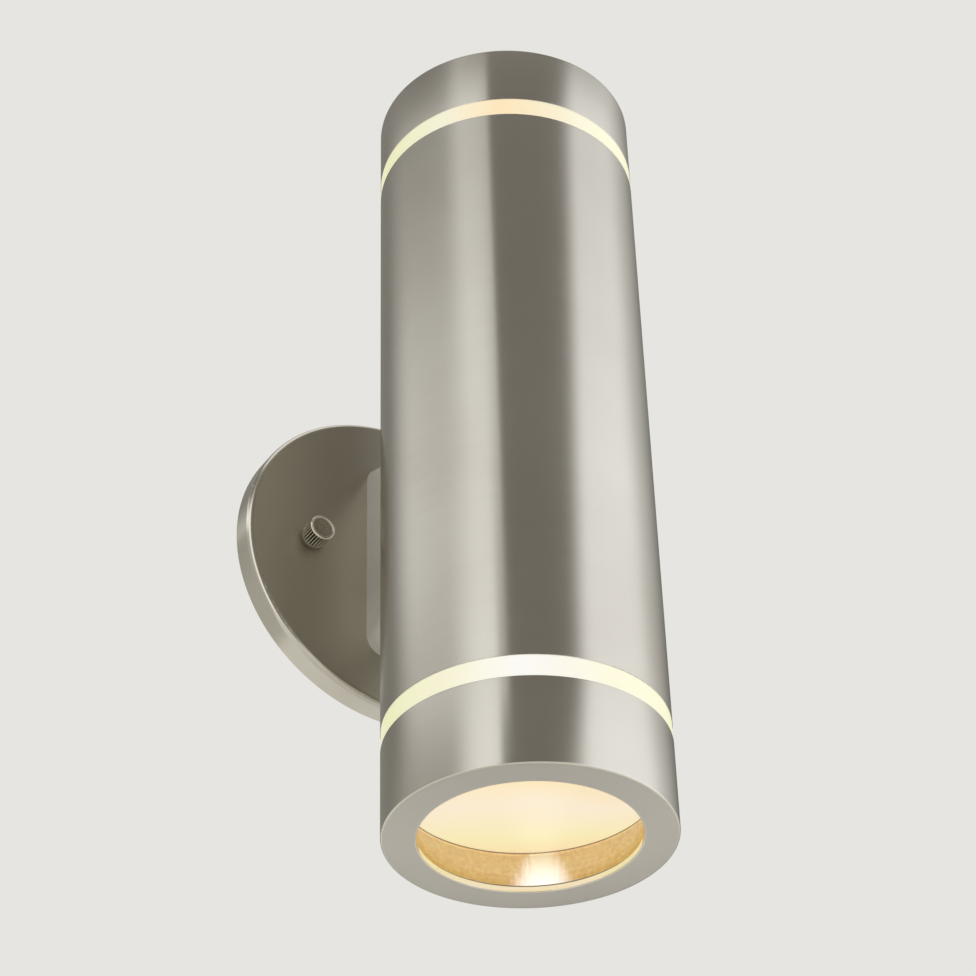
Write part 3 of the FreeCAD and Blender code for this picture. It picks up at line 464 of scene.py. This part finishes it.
def opalDisc(look):
    material, tree = newMaterial("opalAcrylicDisc")
    place = addNode(tree, "ShaderNodeTexCoord").outputs["Object"]
    centred = addNode(tree, "ShaderNodeMapping", {"Vector": place, "Location": (0, -tubeAxis.y, 0)})
    straight = addNode(tree, "ShaderNodeVectorMath", {
        0: centred.outputs["Vector"], 1: look["tintWay"]}, operation="DOT_PRODUCT")
    noise = addNode(tree, "ShaderNodeTexNoise", {
        "Vector": place, "Scale": 1 / look["driftSize"], "Detail": 1.0})
    wander = addNode(tree, "ShaderNodeMath", {
        0: noise.outputs["Fac"], 1: look["drift"], 2: straight.outputs["Value"]}, operation="MULTIPLY_ADD")
    share = addNode(tree, "ShaderNodeMapRange", {
        "Value": wander.outputs[0], "From Min": look["start"] + look["drift"] / 2,
        "From Max": look["end"] + look["drift"] / 2})
    stops = [(position, look["tints"][tone]) for position, tone in look["spread"]]
    tint = addNode(tree, "ShaderNodeValToRGB", {"Fac": share.outputs["Result"]}, stops=stops)
    return opalAcrylic(material, tree, look, place, tint.outputs["Color"])


glassFinish = {"tone": "F9FBF9", "ior": 1.52, "dust": 4 * mm, "haze": 0.05}


def floatGlass(look):
    # Tempered soda-lime float glass: clear, smooth, very slightly green, with a trace of dust.
    material, tree = newMaterial("temperedFloatGlass")
    place = addNode(tree, "ShaderNodeTexCoord").outputs["Object"]
    dust = addNode(tree, "ShaderNodeTexNoise", {"Vector": place, "Scale": 1 / look["dust"], "Detail": 5.0})
    haze = addNode(tree, "ShaderNodeMapRange", {
        "Value": dust.outputs["Fac"], "From Min": 0.45, "From Max": 0.8,
        "To Min": 0.0, "To Max": look["haze"]})
    shader = addNode(tree, "ShaderNodeBsdfPrincipled", {
        "Base Color": look["tone"], "Roughness": haze.outputs["Result"], "IOR": look["ior"],
        "Transmission Weight": 1.0})
    return finishMaterial(material, shader.outputs["BSDF"])


reflectorFinish = {
    # the beams' paler tone and their glow are painted highlights
    "gold": "F0D8AC", "deep": "E2BC80", "pale": "FAF4EC", "roughness": 0.12,
    "dimple": 1.5 * mm, "streak": 0.8 * mm, "streakLength": 5 * mm, "relief": 0.05 * mm,
    "beams": 4, "firstBeam": 141.5,            # bearing of one of them
    "paintedBeamTint": "ECE8FF", "paintedBeamGlow": 1.0, "beamRagged": 0.22,
    "beamNarrow": 0.82, "beamWide": 0.15,      # cosines at a beam's edges, by the disc and the glass
    # its painted shade by depth: a dark painted shade in the gap where it meets the disc, then a painted
    # bright band
    "paintedSeamShade": ((0.025, "8F7044"), (0.04, "FFFFFF"), (0.07, "FFFFFF"), (0.1, "F0EAE0")),
}


def spunReflector(look, glassLevel, discLevel):
    # Gold-toned anodised aluminium, spun and buffed: it mirrors the disc and gets more
    # golden at each bounce, with a sparkle from the buffing. Four beams are painted down
    # it, a painted highlight: a paler tone and a glow, which widen and brighten towards the glass.
    material, tree = newMaterial("anodisedReflector")
    place = addNode(tree, "ShaderNodeTexCoord").outputs["Object"]
    scale = (1 / look["streak"], 1 / look["streak"], 1 / look["streakLength"])
    stretched = addNode(tree, "ShaderNodeMapping", {"Vector": place, "Scale": scale}).outputs["Vector"]
    streaks = addNode(tree, "ShaderNodeTexNoise", {"Vector": stretched, "Scale": 1.0, "Detail": 3.0})
    dimples = addNode(tree, "ShaderNodeTexNoise", {
        "Vector": place, "Scale": 1 / look["dimple"], "Detail": 4.0, "Roughness": 0.7})
    relief = addNode(tree, "ShaderNodeMath", {
        0: streaks.outputs["Fac"], 1: dimples.outputs["Fac"]}, operation="ADD")
    bump = addNode(tree, "ShaderNodeBump", {
        "Height": relief.outputs[0], "Strength": 0.7, "Distance": look["relief"]})
    phase = addNode(tree, "ShaderNodeMath", {
        0: bearingRound(tree, place), 1: look["firstBeam"]}, operation="SUBTRACT").outputs[0]
    angle = addNode(tree, "ShaderNodeMath", {
        0: phase, 1: math.radians(look["beams"])}, operation="MULTIPLY").outputs[0]
    wave = addNode(tree, "ShaderNodeMath", {0: angle}, operation="COSINE").outputs[0]
    level = addNode(tree, "ShaderNodeSeparateXYZ", {"Vector": place}).outputs["Z"]
    height = addNode(tree, "ShaderNodeMath", {0: level}, operation="ABSOLUTE").outputs[0]
    spread = addNode(tree, "ShaderNodeMapRange", {
        "Value": height, "From Min": discLevel, "From Max": glassLevel,
        "To Min": look["beamNarrow"] + look["beamRagged"] / 2,
        "To Max": look["beamWide"] + look["beamRagged"] / 2}).outputs["Result"]
    ragged = addNode(tree, "ShaderNodeMath", {
        0: streaks.outputs["Fac"], 1: look["beamRagged"], 2: wave}, operation="MULTIPLY_ADD")
    soft = addNode(tree, "ShaderNodeMapRange", {
        "Value": ragged.outputs[0], "From Min": spread, "From Max": 1.0 + look["beamRagged"] / 2},
        interpolation_type="SMOOTHSTEP")
    # the painted highlight's share: four beams
    paintedBeam = addNode(tree, "ShaderNodeMath", {
        0: soft.outputs["Result"], 1: 2.0}, operation="POWER").outputs[0]
    mottle = addNode(tree, "ShaderNodeValToRGB", {"Fac": dimples.outputs["Fac"]},
                     stops=((0.3, look["deep"]), (0.6, look["gold"])))
    plate = addNode(tree, "ShaderNodeMix", {
        "Factor": paintedBeam, "A": mottle.outputs["Color"], "B": look["pale"]}, data_type="RGBA")
    down = addNode(tree, "ShaderNodeMapRange", {
        "Value": height, "From Min": discLevel, "From Max": glassLevel})
    # painted shade at the seam with the disc, and a painted bright band below it
    paintedSeamShade = addNode(tree, "ShaderNodeValToRGB", {"Fac": down.outputs["Result"]}, stops=look["paintedSeamShade"])
    tone = addNode(tree, "ShaderNodeMix", {
        "Factor": 1.0, "A": plate.outputs["Result"], "B": paintedSeamShade.outputs["Color"]},
        data_type="RGBA", blend_type="MULTIPLY")
    lit = addNode(tree, "ShaderNodeMath", {0: paintedBeam, 1: down.outputs["Result"]}, operation="MULTIPLY")
    # the painted beams also glow, brighter towards the glass
    glow = addNode(tree, "ShaderNodeMix", {
        "Factor": lit.outputs[0], "A": "000000", "B": look["paintedBeamTint"]}, data_type="RGBA")
    shader = addNode(tree, "ShaderNodeBsdfPrincipled", {
        "Base Color": tone.outputs["Result"], "Metallic": 1.0, "Roughness": look["roughness"],
        "Emission Color": glow.outputs["Result"], "Emission Strength": look["paintedBeamGlow"],
        "Normal": bump.outputs["Normal"]})
    return finishMaterial(material, shader.outputs["BSDF"])


# Plain finishes: colours, grain size, roughness range, relief, then metal or plastic.
plainFinishes = {
    # silicone rubber, moulded: soft, slightly cloudy, picks up dust
    "mouldedSilicone": {"tones": ("B9B7AE", "A9A79D"), "grain": 1.5 * mm, "gloss": (0.45, 0.6),
                        "relief": 0.03 * mm, "ior": 1.41},
    # EPDM rubber, moulded: nearly matt
    "mouldedRubber": {"tones": ("9A9584", "8C8776"), "grain": 0.8 * mm, "gloss": (0.55, 0.75),
                      "relief": 0.03 * mm, "ior": 1.5},
    # closed-cell foam, die-cut: small pores all over, no shine
    "foamGasket": {"tones": ("4A4A47", "2E2E2C"), "grain": 0.9 * mm, "gloss": (0.8, 0.95),
                   "relief": 0.25 * mm, "ior": 1.45},
    # aluminium alloy, die-cast and shot-blasted: dull grey with a fine pebble
    "castAluminium": {"tones": ("B4B5B6", "9FA0A1"), "grain": 0.7 * mm, "gloss": (0.42, 0.6),
                      "relief": 0.05 * mm, "metallic": 1.0},
    # steel, zinc-plated: bluish, with a cloudy bright and dull flower
    "zincPlatedSteel": {"tones": ("C9CCCF", "AEB3B8"), "grain": 4.0 * mm, "gloss": (0.28, 0.48),
                        "relief": 0.02 * mm, "metallic": 1.0},
    # steel, green chromate over zinc: the usual mark of an earthing screw
    "greenChromateSteel": {"tones": ("3F8F52", "2F7040"), "grain": 1.5 * mm, "gloss": (0.3, 0.45),
                           "relief": 0.02 * mm, "metallic": 1.0},
    # filled silicone sheet, pressed: pinkish grey and dull
    "thermalPadSheet": {"tones": ("C7A9A6", "B79895"), "grain": 0.6 * mm, "gloss": (0.7, 0.85),
                        "relief": 0.04 * mm, "ior": 1.41},
    # white solder mask over an aluminium board: smooth, a little glossy
    "whiteSolderMask": {"tones": ("F2F2EE", "E6E6E1"), "grain": 2.0 * mm, "gloss": (0.3, 0.42),
                        "relief": 0.01 * mm, "ior": 1.5},
    # flame-retardant ABS, moulded with a spark-eroded texture: white and faintly grained
    "sparkTexturedAbs": {"tones": ("E4E3DE", "D9D8D2"), "grain": 0.5 * mm, "gloss": (0.5, 0.65),
                         "relief": 0.04 * mm, "ior": 1.54},
}


def plainFinish(name):
    look = plainFinishes[name]
    material, tree = newMaterial(name)
    place = addNode(tree, "ShaderNodeTexCoord").outputs["Object"]
    grain = addNode(tree, "ShaderNodeTexNoise", {
        "Vector": place, "Scale": 1 / look["grain"], "Detail": 3.0}).outputs["Fac"]
    tone = addNode(tree, "ShaderNodeValToRGB", {"Fac": grain},
                   stops=((0.35, look["tones"][0]), (0.65, look["tones"][1])))
    gloss = addNode(tree, "ShaderNodeMapRange", {
        "Value": grain, "From Min": noiseLow, "From Max": noiseHigh,
        "To Min": look["gloss"][0], "To Max": look["gloss"][1]})
    bump = addNode(tree, "ShaderNodeBump", {"Height": grain, "Strength": 0.6, "Distance": look["relief"]})
    shader = addNode(tree, "ShaderNodeBsdfPrincipled", {
        "Base Color": tone.outputs["Color"], "Roughness": gloss.outputs["Result"],
        "Normal": bump.outputs["Normal"]})
    if "metallic" in look:
        shader.inputs["Metallic"].default_value = look["metallic"]
    else:
        shader.inputs["IOR"].default_value = look["ior"]
    return finishMaterial(material, shader.outputs["BSDF"])


phosphor = {
    "pale": "F2C84B", "deep": "E8B93A", "grain": 0.3 * mm, "roughness": 0.35, "ior": 1.41,
    "tint": "FFE9B8", "glow": 2.0,
}


def phosphorMaterial(look):
    # Phosphor in clear silicone over the chips: yellow, and glowing when the light is on.
    material, tree = newMaterial("phosphorLens")
    place = addNode(tree, "ShaderNodeTexCoord").outputs["Object"]
    grains = addNode(tree, "ShaderNodeTexNoise", {"Vector": place, "Scale": 1 / look["grain"]})
    tone = addNode(tree, "ShaderNodeValToRGB", {"Fac": grains.outputs["Fac"]},
                   stops=((noiseLow, look["pale"]), (noiseHigh, look["deep"])))
    shader = addNode(tree, "ShaderNodeBsdfPrincipled", {
        "Base Color": tone.outputs["Color"], "Roughness": look["roughness"], "IOR": look["ior"],
        "Emission Color": look["tint"], "Emission Strength": look["glow"]})
    return finishMaterial(material, shader.outputs["BSDF"])


brushedTube = brushedNickel("brushedNickelTube", tubeFinish)
brushedCanopy = brushedNickel("brushedNickelCanopy", canopyFinish)
blastedNeck = blastedNickel("blastedNickelNeck", neckFinish)
platedNut = knurledNickel(nutFinish)
plain = {name: plainFinish(name) for name in plainFinishes}
reflectorLow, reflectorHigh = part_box("upper_reflector")

bothEnds = {
    "collar": brushedTube,
    "glass_gasket": plain["mouldedSilicone"],
    "glass": floatGlass(glassFinish),
    "reflector": spunReflector(reflectorFinish, reflectorHigh.z, reflectorLow.z),
    "diffuser": opalDisc(opalDiscs),
    "heat_sink": plain["castAluminium"],
    "thermal_pad": plain["thermalPadSheet"],
    "led_board": plain["whiteSolderMask"],
    "leds": phosphorMaterial(phosphor),
    "board_screws": plain["zincPlatedSteel"],
    "sink_screws": plain["zincPlatedSteel"],
}
dressing = {
    "main_tube": brushedTube,
    "lower_light_ring": opalRing(opalRings, "lower"),
    "upper_light_ring": opalRing(opalRings, "upper"),
    "neck": blastedNeck,
    "canopy": brushedCanopy,
    "canopy_gasket": plain["foamGasket"],
    "chassis": plain["zincPlatedSteel"],
    "saddle_spacer": plain["castAluminium"],
    "wire_grommet": plain["mouldedSilicone"],
    "led_driver": plain["sparkTexturedAbs"],
    "driver_screws": plain["zincPlatedSteel"],
    "neck_screws": plain["zincPlatedSteel"],
    "canopy_screws": plain["zincPlatedSteel"],
    "mounting_plate": plain["zincPlatedSteel"],
    "ground_screw": plain["greenChromateSteel"],
    "stud_lock_nuts": plain["zincPlatedSteel"],
    "left_stud": plain["zincPlatedSteel"],
    "right_stud": plain["zincPlatedSteel"],
    "left_washer": plain["mouldedRubber"],
    "right_washer": plain["mouldedRubber"],
    "left_thumb_nut": platedNut,
    "right_thumb_nut": platedNut,
}
for end in ("lower", "upper"):
    dressing.update({end + "_" + piece: material for piece, material in bothEnds.items()})
for node, material in dressing.items():
    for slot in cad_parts[node].material_slots:
        slot.material = material
print("scene: finishes made,", len(dressing), "nodes dressed")


seamGap = 0.001 * mm                           # points this near are one
sharpAngle = math.radians(35)                  # a steeper corner shows as an edge


def turnedTree():
    # Turns a profile round Z and copies the part along a line. The profile's X is the
    # radius, its Z the height and its Y how deep the ridges are cut there. Ridges run
    # along the part, or wind round it as a thread where Ridges Per Metre is not 0.
    tree = bpy.data.node_groups.new("turnedParts", "GeometryNodeTree")
    face = tree.interface
    for name, kind in (("Profile", "Geometry"), ("Around", "Int"), ("Ridges", "Float"),
                       ("Ridges Per Metre", "Float"), ("Half Across Flats", "Float"),
                       ("Copies", "Int"), ("First", "Vector"), ("Step", "Vector"),
                       ("Turn", "Rotation"), ("Finish", "Material")):
        face.new_socket(name, in_out="INPUT", socket_type="NodeSocket" + kind)
    face.new_socket("Parts", in_out="OUTPUT", socket_type="NodeSocketGeometry")
    known = dict(addNode(tree, "NodeGroupInput").outputs.items())
    known["rows"] = addNode(tree, "GeometryNodeAttributeDomainSize", {
        "Geometry": known["Profile"]}, component="MESH").outputs["Point Count"]
    known["index"] = addNode(tree, "GeometryNodeInputIndex").outputs["Index"]
    profilePlace = addNode(tree, "GeometryNodeInputPosition").outputs["Position"]
    profilePoint = addNode(tree, "GeometryNodeSampleIndex", {
        "Geometry": known["Profile"], "Value": profilePlace}, data_type="FLOAT_VECTOR")
    parts = addNode(tree, "ShaderNodeSeparateXYZ", {0: profilePoint.outputs[0]}).outputs
    known.update(zip(("radius", "depth", "height"), parts))

    # each sum is a name, an operation and its terms: names known so far, or numbers
    for name, operation, *terms in (
            # the grid's columns go round the part, and its rows are the profile's points
            ("columns", "ADD", "Around", 1.0),
            ("column", "DIVIDE", "index", "rows"), ("column", "FLOOR", "column"),
            ("turn", "DIVIDE", "column", "Around"), ("row", "MODULO", "index", "rows"),
            # ridges, with a sharp groove between them
            ("wound", "MULTIPLY", "height", "Ridges Per Metre"),
            ("phase", "MULTIPLY_ADD", "turn", "Ridges", "wound"), ("phase", "MULTIPLY", "phase", math.pi),
            ("crest", "SINE", "phase"), ("crest", "ABSOLUTE", "crest"),
            ("groove", "SUBTRACT", 1.0, "crest"), ("groove", "MULTIPLY", "groove", "depth"),
            ("ridged", "SUBTRACT", "radius", "groove"),
            # six flats, where the hexagon is narrower than the profile
            ("sixth", "MULTIPLY", "turn", 6.0), ("sixth", "FRACT", "sixth"),
            ("sixth", "SUBTRACT", "sixth", 0.5), ("sixth", "MULTIPLY", "sixth", math.pi / 3),
            ("flat", "COSINE", "sixth"), ("flat", "DIVIDE", "Half Across Flats", "flat"),
            ("shaped", "MINIMUM", "ridged", "flat"), ("angle", "MULTIPLY", "turn", 2 * math.pi),
            ("x", "COSINE", "angle"), ("x", "MULTIPLY", "x", "shaped"),
            ("y", "SINE", "angle"), ("y", "MULTIPLY", "y", "shaped")):
        inputs = {at: known.get(term, term) for at, term in enumerate(terms)}
        known[name] = addNode(tree, "ShaderNodeMath", inputs, operation=operation).outputs[0]
    tree.links.new(known["row"], profilePoint.inputs["Index"])
    place = addNode(tree, "ShaderNodeCombineXYZ", {
        "X": known["x"], "Y": known["y"], "Z": known["height"]}).outputs[0]
    grid = addNode(tree, "GeometryNodeMeshGrid", {
        "Vertices X": known["columns"], "Vertices Y": known["rows"]}).outputs["Mesh"]
    shaped = addNode(tree, "GeometryNodeSetPosition", {"Geometry": grid, "Position": place})
    closed = addNode(tree, "GeometryNodeMergeByDistance", {
        "Geometry": shaped.outputs[0], "Distance": seamGap})
    line = addNode(tree, "GeometryNodeMeshLine", {
        "Count": known["Copies"], "Start Location": known["First"], "Offset": known["Step"]})
    copies = addNode(tree, "GeometryNodeInstanceOnPoints", {
        "Points": line.outputs[0], "Instance": closed.outputs[0], "Rotation": known["Turn"]})
    real = addNode(tree, "GeometryNodeRealizeInstances", {"Geometry": copies.outputs[0]})
    done = addNode(tree, "GeometryNodeSetMaterial", {
        "Geometry": real.outputs[0], "Material": known["Finish"]})
    addNode(tree, "NodeGroupOutput", {"Parts": done.outputs[0]})
    return tree


turned = turnedTree()
outOfWall = (math.pi / 2, 0, 0)                # the part's own Z points along -Y
plainTurning = {
    "Ridges": 0.0, "Ridges Per Metre": 0.0, "Half Across Flats": 1.0,
    "Copies": 1, "First": (0, 0, 0), "Step": (0, 0, 0), "Turn": (0, 0, 0),
}


def turnedMesh(name, profile, **values):
    # the plain mesh that the tree turns from a profile of (radius, height, ridge depth) points
    base = bpy.data.meshes.new(name + "Profile")
    base.from_pydata([(radius, depth, height) for radius, height, depth in profile], [], [])
    carrier = bpy.data.objects.new(name + "Carrier", base)
    scene.collection.objects.link(carrier)
    modifier = carrier.modifiers.new("turn", "NODES")
    modifier.node_group = turned
    sockets = {item.name: item.identifier for item in turned.interface.items_tree}
    for label, value in {**plainTurning, **values}.items():
        modifier[sockets[label]] = value
    bpy.context.view_layer.update()
    mesh = bpy.data.meshes.new_from_object(carrier.evaluated_get(bpy.context.evaluated_depsgraph_get()))
    carrier.modifiers.clear()
    bpy.data.objects.remove(carrier)
    mesh.name = name
    shell = bmesh.new()
    shell.from_mesh(mesh)
    bmesh.ops.recalc_face_normals(shell, faces=shell.faces)
    shell.to_mesh(mesh)
    shell.free()
    mesh.shade_smooth()
    mesh.set_sharp_from_angle(angle=sharpAngle)
    return mesh


def roundedProfile(corners, closed=False, steps=5):
    # Corners are (radius, height, rounding, ridge depth). A corner with a rounding becomes
    # a short curve, and a closed profile is that of a ring.
    points = []
    for at, (radius, height, rounding, depth) in enumerate(corners):
        corner = Vector((radius, height))
        before, after = Vector(corners[at - 1][:2]), Vector(corners[(at + 1) % len(corners)][:2])
        start = corner + (before - corner).normalized() * rounding
        end = corner + (after - corner).normalized() * rounding
        for step in range(steps + 1 if rounding else 1):
            share = step / steps
            spot = start.lerp(corner, share).lerp(corner.lerp(end, share), share)
            points.append((spot.x, spot.y, depth))
    return points + points[:1] if closed else points


def showPiece(name, mesh, body, slot, *replaced):
    piece = bpy.data.objects.new(name, mesh)
    scene.collection.objects.link(piece)
    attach(piece, body)
    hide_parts(*replaced)


collar = {
    "around": 288,                             # points round it
    "wall": 2.5 * mm, "rim": 2.0 * mm,
    "outerEdge": 0.6 * mm, "lipEdge": 0.35 * mm, "ringEdge": 0.3 * mm, "innerEdge": 0.1 * mm,
}


def makeCollar(end, outwards, look):
    # the end cap: a short tube with a rim round the opening, its corners softened
    low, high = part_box(end + "_collar")
    radius, height = (high.x - low.x) / 2, high.z - low.z
    bore = radius - look["wall"]
    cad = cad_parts[end + "_collar"].data
    opening = min((vertex.co - tubeAxis).xy.length for vertex in cad.vertices)
    corners = [(opening, look["rim"], look["innerEdge"]), (opening, 0, look["lipEdge"]),
               (radius, 0, look["outerEdge"]), (radius, height, look["ringEdge"]),
               (bore, height, look["innerEdge"]), (bore, look["rim"], look["innerEdge"])]
    faceLevel = high.z if outwards > 0 else low.z
    placed = [(r, faceLevel - outwards * h, rounding, 0) for r, h, rounding in corners]
    mesh = turnedMesh(end + "Collar", roundedProfile(placed, closed=True), **{
        "Around": look["around"], "First": (tubeAxis.x, tubeAxis.y, 0), "Finish": brushedTube})
    showPiece(end + "Collar", mesh, "fixture", "satin_nickel", end + "_collar")


for end, outwards in (("lower", -1), ("upper", 1)):
    makeCollar(end, outwards, collar)
print("scene: collars made")


# The knurl runs along the nut. It is cut deep enough to show from the camera.
thumbNut = {
    "ridges": 28, "ridgeDepth": 0.55 * mm, "plainBand": 0.6 * mm, "pointsPerRidge": 10,
    "chamfer": 0.45 * mm, "edge": 0.55 * mm, "rim": 0.8 * mm, "rimEdge": 0.15 * mm,
    "dish": 0.4 * mm, "dishSlope": 0.1 * mm, "dishEdge": 0.08 * mm, "bore": 2.14 * mm, "cap": 1.1 * mm,
}


def makeThumbNut(side, look):
    low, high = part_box(side + "_thumb_nut")
    radius, height = (high.x - low.x) / 2, high.y - low.y
    depth, inner = look["ridgeDepth"], (high.x - low.x) / 2 - look["rim"]
    corners = [(0, height - look["cap"], 0, 0), (look["bore"], height - look["cap"], 0, 0),
               (look["bore"], 0, 0, 0), (radius - look["chamfer"], 0, 0, 0),
               (radius, look["chamfer"], 0, 0.5 * depth),
               (radius, look["chamfer"] + depth / 2, 0, depth), (radius, height / 2, 0, depth),
               (radius, height - look["plainBand"] - depth / 2, 0, depth),
               (radius, height - look["plainBand"], 0, 0), (radius, height, look["edge"], 0),
               (inner, height, look["rimEdge"], 0),
               (inner - look["dishSlope"], height - look["dish"], look["dishEdge"], 0),
               (0, height - look["dish"], 0, 0)]
    middle = (low + high) / 2
    mesh = turnedMesh(side + "ThumbNut", roundedProfile(corners), **{
        "Around": look["ridges"] * look["pointsPerRidge"], "Ridges": float(look["ridges"]),
        "First": (middle.x, high.y, middle.z), "Turn": outOfWall, "Finish": platedNut})
    showPiece(side + "ThumbNut", mesh, side + "_nut", "nut_nickel", side + "_thumb_nut")


for side in ("left", "right"):
    makeThumbNut(side, thumbNut)
print("scene: thumb nuts made")


# Machine screw thread No. 8-32: 32 turns to the inch.
wallStud = {
    "pitch": 25.4 * mm / 32, "threadDepth": 0.48 * mm, "tip": 0.4 * mm, "rowsPerTurn": 10, "around": 28,
}
lockNut = {
    "acrossFlats": 8.73 * mm, "height": 2.8 * mm, "bore": 2.14 * mm, "boreEdge": 0.2 * mm,
    "chamfer": 0.55 * mm, "faceInset": 0.1 * mm, "around": 72,
}


def makeStuds(look):
    # both threaded studs, as one mesh
    low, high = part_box("left_stud")
    farLow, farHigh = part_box("right_stud")
    radius, length, tip = (high.x - low.x) / 2, high.y - low.y, look["tip"]
    spacing = (farLow + farHigh - low - high).x / 2
    rows = round((length - 2 * tip) / look["pitch"] * look["rowsPerTurn"])
    levels = [tip + (length - 2 * tip) * row / rows for row in range(rows + 1)]
    thread = [(radius, level, look["threadDepth"]) for level in levels]
    root = radius - look["threadDepth"]
    profile = [(0, 0, 0), (root, 0, 0), *thread, (root, length, 0), (0, length, 0)]
    mesh = turnedMesh("threadedStuds", profile, **{
        "Around": look["around"], "Ridges": -1.0, "Ridges Per Metre": 1 / look["pitch"], "Copies": 2,
        "First": ((low.x + high.x) / 2, high.y, (low.z + high.z) / 2), "Step": (spacing, 0, 0),
        "Turn": outOfWall, "Finish": plain["zincPlatedSteel"]})
    showPiece("threadedStuds", mesh, "fixture", "zinc_steel", "left_stud", "right_stud")


def makeLockNuts(look):
    # the hexagon nuts that hold the studs to the plate, as one mesh
    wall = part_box("stud_lock_nuts")[1].y       # their side towards the wall
    studLow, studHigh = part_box("left_stud")
    farLow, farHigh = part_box("right_stud")
    middle, spacing = (studLow + studHigh) / 2, (farLow + farHigh - studLow - studHigh).x / 2
    flat, height, slope = look["acrossFlats"] / 2, look["height"], look["chamfer"]
    point = flat / math.cos(math.pi / 6)
    face, boreEdge = flat - look["faceInset"], look["boreEdge"]
    corners = [(look["bore"], 0, boreEdge, 0), (face, 0, 0, 0), (point, slope, 0, 0),
               (point, height - slope, 0, 0), (face, height, 0, 0), (look["bore"], height, boreEdge, 0)]
    mesh = turnedMesh("hexLockNuts", roundedProfile(corners, closed=True), **{
        "Around": look["around"], "Half Across Flats": flat, "Copies": 2,
        "First": (middle.x, wall, middle.z), "Step": (spacing, 0, 0),
        "Turn": outOfWall, "Finish": plain["zincPlatedSteel"]})
    showPiece("hexLockNuts", mesh, "fixture", "zinc_steel", "stud_lock_nuts")


makeStuds(wallStud)
makeLockNuts(lockNut)
print("scene: threaded studs and lock nuts made")
